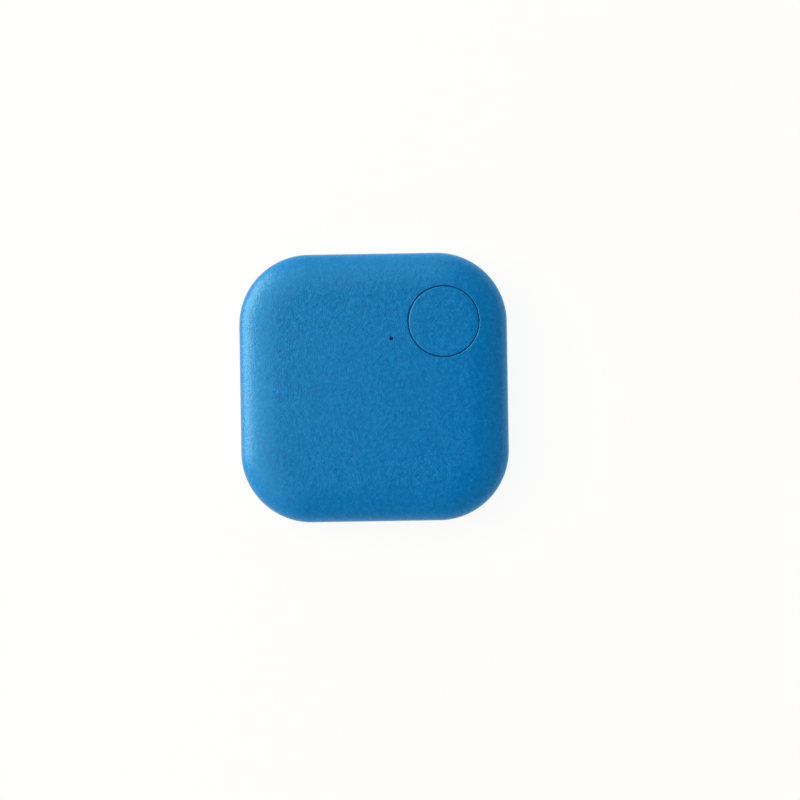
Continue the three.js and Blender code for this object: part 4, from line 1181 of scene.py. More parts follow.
VIAS = [(9.2, 0.3), (6.9, -0.4), (14.6, 9.0), (9.4, 2.6), (4.3, 13.0), (-1.6, 10.6), (7.4, -11.5), (12.4, 0.2),
        (13.4, 4.3), (10.6, -12.0), (12.2, 13.2), (5.4, 12.9), (-8.6, 11.6), (1.0, 12.4), (15.6, 5.2)]


def track(route):
    """A flat strip along a route. At a bend its sides lie across the average of the two runs, and further out
    by 1 / cos(half the bend), so that the strip keeps its width."""
    points = np.array(route, float)
    runs = np.diff(points, axis=0)
    runs /= np.linalg.norm(runs, axis=1, keepdims=True)
    points[0] -= runs[0] * TRACK_WIDTH / 2
    points[-1] += runs[-1] * TRACK_WIDTH / 2
    before, after = np.concatenate([runs[:1], runs]), np.concatenate([runs, runs[-1:]])
    middle = before + after
    middle /= np.linalg.norm(middle, axis=1, keepdims=True)
    across = np.stack([-middle[:, 1], middle[:, 0]], axis=1) / (middle * before).sum(axis=1, keepdims=True)
    sides = TRACK_WIDTH * np.array([-0.5, -0.5, -0.4, 0.4, 0.5, 0.5])
    drops = TRACK_HEIGHT * np.array([-0.5, 0.5, 1, 1, 0.5, -0.5])
    rings = points[:, None] + sides[:, None] * across[:, None]
    return skin("track", lifted(rings, (BOARD_REAR - drops)[None]))


def eyelet(place, inner, outer, height):
    """A flat plated ring round a hole."""
    return washer("eyelet", [
        [inner, BOARD_REAR + 0.01], [outer, BOARD_REAR + 0.01], [outer, BOARD_REAR - height],
        [inner, BOARD_REAR - height],
    ], 0.004, place, 24)


board_tracks = gathered("board_tracks", [
    track(route) for route in ROUTES])
eyelets = [eyelet(place, 0.1, VIA_RADIUS, 0.022) for place in VIAS]
eyelets += [eyelet(place, SCREW_HOLE, 1.35, 0.02) for place in SCREW_PLACES]
board_eyelets = gathered("board_eyelets", eyelets)
block_end_caps = gathered("block_end_caps", end_pieces)
board_solder = gathered("board_solder", solder_pieces)
print("faces of tracks and solder:", len(board_tracks.data.polygons), len(board_solder.data.polygons))

# %% [markdown]
# ## Screws
# Three small screws hold the board to the front shell. Each has a low round head with a cross, and a thread
# whose ridge is a spiral: the radius of the shank grows and shrinks with height and turn together.

# %% Screws
THREAD_PITCH = 0.4
THREAD_CREST = 0.59
THREAD_ROOT = 0.46
THREAD_STEPS = 36
RECESS_HALF = 0.65
RECESS_WIDTH = 0.15
RECESS_DEPTH = 0.28


def screw_sheet(low, high, head_radius, centre):
    """Head: the rounded side outline. Shank: radius = root + (crest - root) * ridge, where ridge is a
    triangle wave of (height / pitch - turn), fading in under the head and out at the tip."""
    head = revolve(rounded([
        [0, low], [0.3 * head_radius, low], [head_radius, low + 0.12], [head_radius, BOARD_REAR],
        [THREAD_ROOT, BOARD_REAR],
    ], [0, 0.05, 0.14, 0.04, 0]).clip(POLE_RADIUS, None), centre, THREAD_STEPS)
    height = np.linspace(BOARD_REAR, high - 0.25, 66)[:, None]
    turn = np.arange(THREAD_STEPS) / THREAD_STEPS
    wave = np.abs(((height / THREAD_PITCH - turn) % 1) - 0.5) * 2
    ridge = np.clip((wave - 0.35) / 0.5, 0, 1)
    share = (height - BOARD_REAR) / (high - 0.25 - BOARD_REAR)
    fade = np.clip(share * 12, 0, 1) * np.clip((1 - share) * 5, 0, 1)
    radius = THREAD_ROOT + (THREAD_CREST - THREAD_ROOT) * ridge * fade
    x = centre[0] + radius * np.cos(turn * FULL_TURN)
    y = centre[1] + radius * np.sin(turn * FULL_TURN)
    shank = np.stack([x, y, np.broadcast_to(height, x.shape)], axis=2)
    tip = revolve(rounded([[THREAD_ROOT, high - 0.24], [0.2, high], [0, high]], [0, 0.08, 0])
                  .clip(POLE_RADIUS, None), centre, THREAD_STEPS)
    return np.concatenate([head, shank[1:], tip])


board_screws = []
for node in SCREW_NODES:
    low, high = corners(node)
    place = middle_of(node)
    screw = skin(node + "_turned", screw_sheet(low[2], high[2], high[0] - place[0], place))
    carve(screw, "DIFFERENCE", [
        bar("cross", (-RECESS_HALF, -RECESS_WIDTH, low[2] - OVERRUN), (RECESS_HALF, RECESS_WIDTH, low[2] + RECESS_DEPTH),
            0.06, place, math.radians(20) + turn)
        for turn in (0, QUARTER)
    ])
    board_screws.append(screw)
print("screw faces:", len(board_screws[0].data.polygons))

# %% [markdown]
# ## The switch
# Under the button sits a low snap switch. Its base is a plastic frame with a well, a thin steel dome lies in
# the well, a plunger rests on the dome, and a folded steel plate holds it all down.

# %% Switch
switch_place = middle_of("switch_base")
base_low, base_high = corners("switch_base")
SWITCH_HALF = (base_high[0] - base_low[0]) / 2
WELL_RADIUS = 1.9
switch_base = bar("switch_frame", (-SWITCH_HALF, -SWITCH_HALF, base_low[2]), (SWITCH_HALF, SWITCH_HALF, base_high[2]),
                  0.05, switch_place)
carve(switch_base, "DIFFERENCE", [turned("well", [
    [0, base_low[2] + 0.15], [WELL_RADIUS, base_low[2] + 0.15], [WELL_RADIUS, base_high[2] - 0.08],
    [WELL_RADIUS + 0.1, base_high[2] + 0.02], [WELL_RADIUS + 0.1, base_high[2] + OVERRUN],
    [0, base_high[2] + OVERRUN],
], [0, 0.06, 0.02, 0, 0, 0], switch_place, 80)])

dome_low, dome_high = corners("switch_dome")
DOME_SHEET = 0.06
t = np.linspace(0, 1, 14)[:, None]
dome_radius = dome_high[0] - switch_place[0]
dome_rise = dome_high[2] - dome_low[2] - DOME_SHEET
over = np.concatenate([dome_radius * t, dome_low[2] + DOME_SHEET + dome_rise * (1 - t**2)], axis=1)
under = over[::-1] - np.array([0, DOME_SHEET])
switch_dome = skin("snap_dome", revolve(np.concatenate([over, under]).clip(POLE_RADIUS, None), switch_place, 80))

plunger_low, plunger_high = corners("switch_plunger")
PLUNGER_FLANGE = plunger_high[0] - switch_place[0]
PLUNGER_RADIUS = 1.15
flange_high = base_high[2] - 0.02
switch_plunger = turned("snap_plunger", [
    [0, plunger_low[2]], [PLUNGER_FLANGE, plunger_low[2]], [PLUNGER_FLANGE, flange_high],
    [PLUNGER_RADIUS, flange_high], [PLUNGER_RADIUS, plunger_high[2]], [0, plunger_high[2]],
], [0, 0.06, 0.05, 0.05, 0.1, 0], switch_place, 80)

plate_low, plate_high = corners("switch_plate")
PLATE_SHEET = 0.15
PLATE_HALF = (plate_high[0] - plate_low[0]) / 2
plate_level = plate_high[2] - PLATE_SHEET / 2
skirt_reach = PLATE_HALF - PLATE_SHEET / 2
plate_edge = SWITCH_HALF - 0.25
switch_plate = swept("switch_cover", [
    [-skirt_reach, plate_low[2]], [-skirt_reach, plate_level], [-plate_edge, plate_level],
    [plate_edge, plate_level], [skirt_reach, plate_level], [skirt_reach, plate_low[2]],
], [0, 0.14, 0, 0, 0.14, 0], sheet_section(PLATE_SHEET), [
    [-SWITCH_HALF + 0.08, 4.0], [-plate_edge, 5.2], [plate_edge, 5.2], [SWITCH_HALF - 0.08, 4.0],
], switch_place, 0)
carve(switch_plate, "DIFFERENCE", [turned("plate_hole", [
    [0, base_high[2] - OVERRUN], [PLUNGER_RADIUS + 0.1, base_high[2] - OVERRUN],
    [PLUNGER_RADIUS + 0.1, plate_high[2] - 0.04], [PLUNGER_RADIUS + 0.16, plate_high[2] + 0.02],
    [PLUNGER_RADIUS + 0.16, plate_high[2] + OVERRUN], [0, plate_high[2] + OVERRUN],
], 0, switch_place, 80)])

# %% [markdown]
# ## The sounder
# A brass plate with a ceramic disc on it is taped to its rim. Two thin wires run from it down to the board:
# the red one is soldered to the brass, the black one to the silver on the ceramic.

# %% Sounder and its leads
def flat_disc(name, node, edge, steps=128):
    """A thin disc with broken edges."""
    low, high = corners(node)
    place = middle_of(node)
    radius = high[0] - place[0]
    return turned(name, [[0, low[2]], [radius, low[2]], [radius, high[2]], [0, high[2]]], [0, edge, edge, 0],
                  place, steps)


sounder_plate = flat_disc("brass_plate", "sounder_plate", 0.04)
sounder_ceramic = flat_disc("ceramic_disc", "sounder_ceramic", 0.03)
tape_low, tape_high = corners("sounder_tape")
sounder_tape = washer("tape_ring", [
    [CHAMBER_RADIUS, tape_low[2]], [SOUNDER_RADIUS, tape_low[2]], [SOUNDER_RADIUS, tape_high[2]],
    [CHAMBER_RADIUS, tape_high[2]],
], 0.015, SOUNDER_PLACE, 128)

LEAD_RADIUS = 0.2
LEAD_GAP = 0.04
LEAD_RUN = 4.4
SOLDER_DROP = 0.42
WIRE_STEPS = 16
turn = np.linspace(0, FULL_TURN, WIRE_STEPS, endpoint=False)
WIRE_SECTION = np.stack([LEAD_RADIUS * np.cos(turn), LEAD_RADIUS * np.sin(turn)], axis=1)
ceramic_low, ceramic_high = corners("sounder_ceramic")
CERAMIC_RADIUS = ceramic_high[0] - SOUNDER_PLACE[0]


def lead(name, start, underside, heading):
    """A wire that leaves the disc level, drops in a soft S, and lies level on the board."""
    top = underside - LEAD_GAP - LEAD_RADIUS
    landing = BOARD_FRONT + LEAD_GAP + LEAD_RADIUS
    share = np.linspace(0, 1, 30)[:, None]
    ease = share**2 * (3 - 2 * share)
    drop = np.concatenate([start + LEAD_RUN * (0.2 + 0.6 * share), top + (landing - top) * ease], axis=1)
    line = np.concatenate([[[start, top], [start + 0.1, top]], drop, [[start + LEAD_RUN, landing]]])
    return swept(name, line, 0, WIRE_SECTION, [[start, 1], [start + LEAD_RUN, 1]], SOUNDER_PLACE, heading)


def solder_drop(place, height, side):
    """A rounded drop of solder over the end of a wire: above a face when the side is 1, under it when -1."""
    t = np.linspace(0, QUARTER, 9)
    line = np.stack([SOLDER_DROP * np.sin(t[::-1]), height + side * 0.42 * np.cos(t[::-1])], axis=1)
    line = np.concatenate([[[SOLDER_DROP * 1.1, height - side * 0.01], [SOLDER_DROP * 1.1, height]], line])
    return skin("solder_drop", revolve(line[::-1].clip(POLE_RADIUS, None), place, 24))


def from_sounder(reach, heading):
    """A place at a distance and a heading from the middle of the sounder."""
    return SOUNDER_PLACE + reach * np.array([math.cos(heading), math.sin(heading)])


RED_HEADING = math.radians(100)
BLACK_HEADING = math.radians(72)
RED_START = CERAMIC_RADIUS + 0.7
BLACK_START = CERAMIC_RADIUS - 0.7
sounder_lead_red = lead("red_wire", RED_START, ceramic_high[2], RED_HEADING)
sounder_lead_black = lead("black_wire", BLACK_START, ceramic_low[2], BLACK_HEADING)
wire_solder = gathered("wire_solder", [
    solder_drop(from_sounder(RED_START, RED_HEADING), ceramic_high[2], -1),
    solder_drop(from_sounder(BLACK_START, BLACK_HEADING), ceramic_low[2], -1),
    solder_drop(from_sounder(RED_START + LEAD_RUN, RED_HEADING), BOARD_FRONT, 1),
    solder_drop(from_sounder(BLACK_START + LEAD_RUN, BLACK_HEADING), BOARD_FRONT, 1),
])


# %% [markdown]
# ## Floor, light and sky
# The tag lies on a white table. The room around it is bright at the sides and dark overhead, where the
# photographer's phone is, and a window stands low on the left: it lights the left shoulder and little else.

# %% Floor
FLOOR_HALF = 3.0
FLOOR_GLOW = 0.92


def make_floor():
    mesh = bpy.data.meshes.new("floor")
    corner_signs = [(-1, -1), (1, -1), (1, 1), (-1, 1)]
    mesh.from_pydata([(x * FLOOR_HALF, y * FLOOR_HALF, -0.00002) for x, y in corner_signs], [], [(0, 1, 2, 3)])
    floor = bpy.data.objects.new("floor", mesh)
    bpy.context.scene.collection.objects.link(floor)
    material = bpy.data.materials.new("white_table")
    material.use_nodes = True
    tree = material.node_tree
    tree.nodes.clear()
    out = tree.nodes.new("ShaderNodeOutputMaterial")
    paper = tree.nodes.new("ShaderNodeBsdfDiffuse")
    paper.inputs["Color"].default_value = (0.9, 0.9, 0.9, 1)
    glow = tree.nodes.new("ShaderNodeEmission")
    clear = tree.nodes.new("ShaderNodeBsdfTransparent")
    side = tree.nodes.new("ShaderNodeNewGeometry")
    mix = tree.nodes.new("ShaderNodeMixShader")
    mix.inputs["Fac"].default_value = FLOOR_GLOW
    face = tree.nodes.new("ShaderNodeMixShader")
    tree.links.new(paper.outputs[0], mix.inputs[1])
    tree.links.new(glow.outputs[0], mix.inputs[2])
    tree.links.new(side.outputs["Backfacing"], face.inputs["Fac"])
    tree.links.new(mix.outputs[0], face.inputs[1])
    tree.links.new(clear.outputs[0], face.inputs[2])
    tree.links.new(face.outputs[0], out.inputs["Surface"])
    mesh.materials.append(material)
    floor.visible_diffuse = False
    floor.visible_shadow = False
    return floor


make_floor()

# %% Sky and window
BRIGHT_HEADING = math.radians(160)
BRIGHT_FROM, BRIGHT_TO = 0.0, 0.3
HORIZON = [(-12, 0.8), (-3, 1.0), (12, 1.0)]
BRIGHT_SIDE = HORIZON + [(25, 0.9), (38, 1.3), (50, 2.1), (60, 1.4), (68, 2.3), (75, 3.6), (81, 0.0)]
FILL_SIDE = HORIZON + [(16, 0.4), (50, 0.35), (65, 0.15), (75, 0.0)]
BRIGHT_HUE = (1.0, 0.9, 0.82)
FILL_HUE = (0.7, 0.95, 1.0)
WINDOW_HUE = (1.0, 0.78, 0.63)
WINDOW_SIZE = (0.5, 0.4)
WINDOW_PLACE = (-0.43, 0.16, 0.15)
WINDOW_POWER = 3.9


def height_ramp(tree, height, stops, hue):
    """Light by height: each stop is the angle above the horizon in degrees and its level. The stops of the
    horizon stay white, and those above it take the hue."""
    ramp = tree.nodes.new("ShaderNodeValToRGB")
    elements = ramp.color_ramp.elements
    elements.remove(elements[1])
    for index, (angle, level) in enumerate(stops):
        element = elements.new(0.5 + 0.5 * math.sin(math.radians(angle))) if index else elements[0]
        element.position = 0.5 + 0.5 * math.sin(math.radians(angle))
        tone = (1, 1, 1) if index < len(HORIZON) else hue
        element.color = (*[level * c for c in tone], 1)
    tree.links.new(height, ramp.inputs["Fac"])
    return ramp.outputs["Color"]


def make_sky():
    world = bpy.data.worlds.new("room")
    bpy.context.scene.world = world
    world.use_nodes = True
    tree = world.node_tree
    background = tree.nodes["Background"]
    place = tree.nodes.new("ShaderNodeTexCoord")
    split = tree.nodes.new("ShaderNodeSeparateXYZ")
    shift = tree.nodes.new("ShaderNodeMath")
    shift.operation = "MULTIPLY_ADD"
    shift.inputs[1].default_value = 0.5
    shift.inputs[2].default_value = 0.5
    tree.links.new(place.outputs["Generated"], split.inputs[0])
    tree.links.new(split.outputs["Z"], shift.inputs[0])
    left = height_ramp(tree, shift.outputs[0], BRIGHT_SIDE, BRIGHT_HUE)
    right = height_ramp(tree, shift.outputs[0], FILL_SIDE, FILL_HUE)
    toward = tree.nodes.new("ShaderNodeVectorMath")
    toward.operation = "DOT_PRODUCT"
    toward.inputs[1].default_value = (math.cos(BRIGHT_HEADING), math.sin(BRIGHT_HEADING), 0)
    tree.links.new(place.outputs["Generated"], toward.inputs[0])
    share = tree.nodes.new("ShaderNodeMapRange")
    share.interpolation_type = "SMOOTHSTEP"
    share.inputs["From Min"].default_value = BRIGHT_FROM
    share.inputs["From Max"].default_value = BRIGHT_TO
    tree.links.new(toward.outputs["Value"], share.inputs["Value"])
    mix = tree.nodes.new("ShaderNodeMix")
    mix.data_type = "RGBA"
    tree.links.new(share.outputs["Result"], mix.inputs["Factor"])
    tree.links.new(right, mix.inputs[6])
    tree.links.new(left, mix.inputs[7])
    tree.links.new(mix.outputs[2], background.inputs["Color"])


def make_window():
    data = bpy.data.lights.new("window", "AREA")
    data.shape = "RECTANGLE"
    data.size, data.size_y = WINDOW_SIZE
    data.energy = WINDOW_POWER
    data.color = WINDOW_HUE
    window = bpy.data.objects.new("window", data)
    window.location = WINDOW_PLACE
    aim = -window.location
    window.rotation_euler = aim.to_track_quat("-Z", "Y").to_euler()
    bpy.context.scene.collection.objects.link(window)


make_sky()
make_window()
bpy.context.scene.view_settings.view_transform = "Standard"


# %% [markdown]
# ## Finishes
# Every finish is built the same way, from three kinds of noise on the piece's own coordinates: a mottle that
# shifts the colour a little, a change of gloss from place to place, and a fine bump. What sets the finishes
# apart is their scale and strength, and for brushed or turned metal the noise is stretched or bent in rings.

# %% A finish from noise
PER_METRE = 1 / MM


def node(tree, kind, **inputs):
    """Adds a shader node and sets its inputs by name."""
    made = tree.nodes.new(kind)
    for name, value in inputs.items():
        made.inputs[name.replace("_", " ")].default_value = value
    return made


def stretched(tree, vector, scale, centre=(0, 0, 0)):
    """Coordinates in millimetres, moved to a centre and stretched."""
    mapping = tree.nodes.new("ShaderNodeMapping")
    mapping.inputs["Location"].default_value = [-c * s for c, s in zip(centre, scale)]
    mapping.inputs["Scale"].default_value = [s * PER_METRE for s in scale]
    tree.links.new(vector, mapping.inputs["Vector"])
    return mapping.outputs["Vector"]


def noise(tree, vector, size, detail=2.0):
    """Noise whose bumps are about the size given in millimetres."""
    made = node(tree, "ShaderNodeTexNoise", Scale=1 / size, Detail=detail)
    tree.links.new(vector, made.inputs["Vector"])
    return made.outputs["Fac"]


def spread(tree, value, low, high, from_low=0.3, from_high=0.7):
    """Carries a value from one range to another."""
    made = tree.nodes.new("ShaderNodeMapRange")
    for name, number in [("From Min", from_low), ("From Max", from_high), ("To Min", low), ("To Max", high)]:
        made.inputs[name].default_value = number
    tree.links.new(value, made.inputs["Value"])
    return made.outputs["Result"]


def blended(tree, share, first, second):
    """A colour between two, by a share; either may be a colour or another node's output."""
    mix = tree.nodes.new("ShaderNodeMix")
    mix.data_type = "RGBA"
    tree.links.new(share, mix.inputs["Factor"])
    for socket, colour in [(mix.inputs[6], first), (mix.inputs[7], second)]:
        if isinstance(colour, tuple):
            socket.default_value = (*colour, 1)
        else:
            tree.links.new(colour, socket)
    return mix.outputs[2]


def finish(name, colour, roughness, metallic=0.0, mottle=0.06, mottle_size=0.6, gloss_change=0.05,
           grain_size=0.15, grain_height=0.002, stretch=(1, 1, 1), specular=0.5):
    """A material with mottled colour, changing gloss and a fine bump; lengths are in millimetres."""
    material = bpy.data.materials.new(name)
    material.use_nodes = True
    tree = material.node_tree
    shader = tree.nodes["Principled BSDF"]
    shader.inputs["Metallic"].default_value = metallic
    shader.inputs["Specular IOR Level"].default_value = specular
    place = tree.nodes.new("ShaderNodeTexCoord").outputs["Object"]
    where = stretched(tree, place, stretch)
    cloud = spread(tree, noise(tree, where, mottle_size), 0, 1)
    darker = tuple(c * (1 - mottle) for c in colour)
    lighter = tuple(min(c * (1 + mottle), 1.0) for c in colour)
    tree.links.new(blended(tree, cloud, darker, lighter), shader.inputs["Base Color"])
    fine = noise(tree, where, grain_size)
    low_gloss, high_gloss = max(roughness - gloss_change, 0.02), roughness + gloss_change
    tree.links.new(spread(tree, fine, low_gloss, high_gloss), shader.inputs["Roughness"])
    bump = node(tree, "ShaderNodeBump", Strength=1.0, Distance=grain_height * MM)
    tree.links.new(fine, bump.inputs["Height"])
    tree.links.new(bump.outputs["Normal"], shader.inputs["Normal"])
    return material


# %% [markdown]
# ## The blue plastic
# The moulding tool was spark-eroded, so the plastic has a fine satin grain: pits and tips a fifth of a
# millimetre across that mottle the colour and glint where the light grazes them. The pigment is a deep
# saturated blue, and its sheen is bluish too, so the specular tint holds back the red.

# %% Blue plastic
BLUE_DARK = (0.0004, 0.124, 0.372)
BLUE_LIGHT = (0.0010, 0.180, 0.512)
BLUE_GLOSS = 0.6
BLUE_TINT = (0.4, 1.0, 1.0)
BLUE_SHEEN = (0.0, 0.4, 0.9)
BLUE_ROUGHNESS = (0.17, 0.29)
GRAIN_FINE = 0.17
GRAIN_COARSE = 0.55
GRAIN_HEIGHT = 0.07


def blue_plastic(name):
    """Two sizes of noise, added, drive the colour, the roughness and the bump together."""
    material = bpy.data.materials.new(name)
    material.use_nodes = True
    tree = material.node_tree
    shader = tree.nodes["Principled BSDF"]
    shader.inputs["Specular IOR Level"].default_value = BLUE_GLOSS
    shader.inputs["Specular Tint"].default_value = (*BLUE_TINT, 1)
    shader.inputs["Sheen Weight"].default_value = 0.5
    shader.inputs["Sheen Roughness"].default_value = 0.5
    shader.inputs["Sheen Tint"].default_value = (*BLUE_SHEEN, 1)
    place = tree.nodes.new("ShaderNodeTexCoord").outputs["Object"]
    where = stretched(tree, place, (1, 1, 1))
    grain = node(tree, "ShaderNodeMath")
    grain.operation = "MULTIPLY_ADD"
    grain.inputs[1].default_value = 0.55
    tree.links.new(noise(tree, where, GRAIN_FINE, 1.0), grain.inputs[0])
    coarse = spread(tree, noise(tree, where, GRAIN_COARSE, 1.0), 0, 0.45, 0, 1)
    tree.links.new(coarse, grain.inputs[2])
    height = grain.outputs[0]
    tint = spread(tree, height, 0, 1, 0.36, 0.64)
    tree.links.new(blended(tree, tint, BLUE_DARK, BLUE_LIGHT), shader.inputs["Base Color"])
    tree.links.new(spread(tree, height, *BLUE_ROUGHNESS, 0.36, 0.64), shader.inputs["Roughness"])
    bump = node(tree, "ShaderNodeBump", Strength=1.0, Distance=GRAIN_HEIGHT * MM)
    tree.links.new(height, bump.inputs["Height"])
    tree.links.new(bump.outputs["Normal"], shader.inputs["Normal"])
    return material


case_blue = blue_plastic("case_blue")

# %% [markdown]
# ## Metals that were rolled, pressed or turned
# The cell's cups are pressed from nickelled sheet and handled in bulk, so they carry faint rings and rubs.
# The rings come from noise that reads only the distance from the middle of the cell.

# %% Turned steel for the cell
def ringed_steel(name, colour, roughness, centre):
    """Noise of the distance to an upright axis gives fine rings; plain noise gives rubs."""
    material = finish(name, colour, roughness, metallic=1.0, mottle=0.05, mottle_size=2.5)
    tree = material.node_tree
    shader = tree.nodes["Principled BSDF"]
    place = tree.nodes.new("ShaderNodeTexCoord").outputs["Object"]
    flat = stretched(tree, place, (1, 1, 0), (*centre, 0))
    length = tree.nodes.new("ShaderNodeVectorMath")
    length.operation = "LENGTH"
    tree.links.new(flat, length.inputs[0])
    rings = tree.nodes.new("ShaderNodeTexNoise")
    rings.noise_dimensions = "1D"
    rings.inputs["Scale"].default_value = 9.0
    rings.inputs["Detail"].default_value = 3.0
    tree.links.new(length.outputs["Value"], rings.inputs["W"])
    tree.links.new(spread(tree, rings.outputs["Fac"], roughness - 0.08, roughness + 0.12), shader.inputs["Roughness"])
    bump = node(tree, "ShaderNodeBump", Strength=1.0, Distance=0.002 * MM)
    tree.links.new(rings.outputs["Fac"], bump.inputs["Height"])
    tree.links.new(bump.outputs["Normal"], shader.inputs["Normal"])
    return material


can_steel = ringed_steel("can_steel", (0.62, 0.61, 0.58), 0.3, CELL_PLACE)
cap_steel = ringed_steel("cap_steel", (0.66, 0.65, 0.63), 0.26, CELL_PLACE)
gilt = finish("gilt_contact", (0.76, 0.52, 0.2), 0.24, 1.0, 0.06, 1.2, 0.06, 0.12, 0.001, (1, 1, 1))
screw_steel = finish("screw_steel", (0.42, 0.42, 0.43), 0.3, 1.0, 0.1, 0.4, 0.08, 0.1, 0.002)
plate_steel = finish("plate_steel", (0.56, 0.56, 0.55), 0.28, 1.0, 0.05, 0.5, 0.08, 0.12, 0.002, (1, 8, 1))
dome_steel = finish("dome_steel", (0.66, 0.66, 0.65), 0.16, 1.0, 0.03, 0.8, 0.04, 0.2, 0.0006)
brass = finish("rolled_brass", (0.6, 0.4, 0.14), 0.3, 1.0, 0.12, 1.6, 0.08, 0.1, 0.001, (1, 12, 1))
lid_metal = finish("lid_metal", (0.6, 0.59, 0.57), 0.3, 1.0, 0.05, 0.6, 0.06, 0.08, 0.0015)
tin = finish("tin_solder", (0.63, 0.63, 0.64), 0.24, 1.0, 0.1, 0.35, 0.1, 0.14, 0.006)
plated = finish("plated_copper", (0.72, 0.46, 0.2), 0.32, 1.0, 0.08, 0.5, 0.08, 0.1, 0.002)

# %% Plastics, ceramics and wires
seal_plastic = finish("seal_plastic", (0.55, 0.55, 0.5), 0.5, mottle=0.05, grain_height=0.002)
tray_black = finish("tray_black", (0.018, 0.02, 0.023), 0.5, mottle=0.25, mottle_size=0.4, gloss_change=0.1,
                    grain_size=0.18, grain_height=0.01)
switch_black = finish("switch_black", (0.02, 0.021, 0.024), 0.42, mottle=0.25, grain_height=0.004)
plunger_ivory = finish("plunger_ivory", (0.68, 0.64, 0.55), 0.4, mottle=0.05, grain_height=0.003)
chip_black = finish("chip_black", (0.02, 0.021, 0.023), 0.6, mottle=0.5, mottle_size=0.12, gloss_change=0.12,
                    grain_size=0.07, grain_height=0.006)
ferrite_grey = finish("ferrite_grey", (0.03, 0.031, 0.034), 0.5, mottle=0.4, mottle_size=0.15,
                      grain_size=0.09, grain_height=0.008)
capacitor_tan = finish("capacitor_tan", (0.3, 0.19, 0.1), 0.45, mottle=0.15, mottle_size=0.2, grain_size=0.06,
                       grain_height=0.002)
resistor_black = finish("resistor_black", (0.014, 0.015, 0.017), 0.3, mottle=0.2, grain_height=0.001)
coil_blue = finish("coil_blue", (0.05, 0.08, 0.15), 0.35, mottle=0.15, grain_height=0.002)
base_ceramic = finish("base_ceramic", (0.1, 0.09, 0.08), 0.55, mottle=0.2, grain_height=0.003)
tape_black = finish("tape_black", (0.016, 0.018, 0.022), 0.62, mottle=0.3, mottle_size=0.25, grain_size=0.1,
                    grain_height=0.004, stretch=(1, 4, 1))
wire_red = finish("wire_red", (0.42, 0.018, 0.012), 0.36, mottle=0.08, grain_size=0.25, grain_height=0.002)
wire_black = finish("wire_black", (0.012, 0.012, 0.013), 0.38, mottle=0.2, grain_size=0.25, grain_height=0.002)
cathode_black = finish("cathode_black", (0.02, 0.02, 0.021), 0.85, mottle=0.4, mottle_size=0.15, grain_size=0.08,
                       grain_height=0.012)
anode_grey = finish("anode_grey", (0.5, 0.51, 0.53), 0.42, 1.0, 0.12, 0.8, 0.12, 0.12, 0.004, (1, 6, 1))

# %% [markdown]
# ## Board, foam and ceramic
# The green mask lets the weave of the glass cloth show through as a faint square ripple. Closed-cell foam is a crowd of
# bubbles, which cell noise gives at once, with painted shade in their pits. The ceramic is white at its rim and
# silvered inside it.

# %% Board laminate
WEAVE = 0.45


def laminate(name, colour):
    """Two crossed waves of the cloth's pitch make the weave; noise clouds the mask."""
    material = finish(name, colour, 0.32, mottle=0.12, mottle_size=1.5)
    tree = material.node_tree
    shader = tree.nodes["Principled BSDF"]
    place = tree.nodes.new("ShaderNodeTexCoord").outputs["Object"]
    where = stretched(tree, place, (1, 1, 1))
    waves = []
    for direction in "XY":
        wave = node(tree, "ShaderNodeTexWave", Scale=math.pi / (10 * WEAVE), Distortion=0.6)
        wave.bands_direction = direction
        tree.links.new(where, wave.inputs["Vector"])
        waves.append(wave.outputs["Fac"])
    cross = node(tree, "ShaderNodeMath")
    cross.operation = "MULTIPLY"
    tree.links.new(waves[0], cross.inputs[0])
    tree.links.new(waves[1], cross.inputs[1])
    bump = node(tree, "ShaderNodeBump", Strength=1.0, Distance=0.004 * MM)
    tree.links.new(cross.outputs[0], bump.inputs["Height"])
    tree.links.new(bump.outputs["Normal"], shader.inputs["Normal"])
    return material


board_green = laminate("board_green", (0.012, 0.105, 0.045))
track_green = finish("track_green", (0.022, 0.17, 0.07), 0.3, mottle=0.1, grain_height=0.002)

# %% Foam and silvered ceramic
BUBBLE = 0.16


def foam(name, colour):
    """Cell noise: the distance to the nearest bubble's middle sets the height, and paints shade into the pits."""
    material = finish(name, colour, 0.92, mottle=0.3, specular=0.2)
    tree = material.node_tree
    shader = tree.nodes["Principled BSDF"]
    place = tree.nodes.new("ShaderNodeTexCoord").outputs["Object"]
    bubbles = node(tree, "ShaderNodeTexVoronoi", Scale=1 / BUBBLE)
    tree.links.new(stretched(tree, place, (1, 1, 1)), bubbles.inputs["Vector"])
    depth = bubbles.outputs["Distance"]
    # painted shade: the colour falls to a third in the pits of the bubbles
    shade = spread(tree, depth, 0, 1, 0, 0.8)
    tree.links.new(blended(tree, shade, tuple(c * 0.35 for c in colour), colour), shader.inputs["Base Color"])
    bump = node(tree, "ShaderNodeBump", Strength=1.0, Distance=0.05 * MM)
    tree.links.new(depth, bump.inputs["Height"])
    tree.links.new(bump.outputs["Normal"], shader.inputs["Normal"])
    return material


def silvered(name, ceramic, silver, radius, centre):
    """Ceramic outside the radius and silver paste inside it, with a soft edge."""
    material = finish(name, silver, 0.4, mottle=0.08, mottle_size=0.5, grain_size=0.1, grain_height=0.003)
    tree = material.node_tree
    shader = tree.nodes["Principled BSDF"]
    silver_colour = shader.inputs["Base Color"].links[0].from_socket
    place = tree.nodes.new("ShaderNodeTexCoord").outputs["Object"]
    flat = stretched(tree, place, (1, 1, 0), (*centre, 0))
    length = tree.nodes.new("ShaderNodeVectorMath")
    length.operation = "LENGTH"
    tree.links.new(flat, length.inputs[0])
    inside = spread(tree, length.outputs["Value"], 1, 0, radius - 0.03, radius + 0.03)
    tree.links.new(blended(tree, inside, ceramic, silver_colour), shader.inputs["Base Color"])
    tree.links.new(spread(tree, inside, 0, 0.9, 0, 1), shader.inputs["Metallic"])
    return material


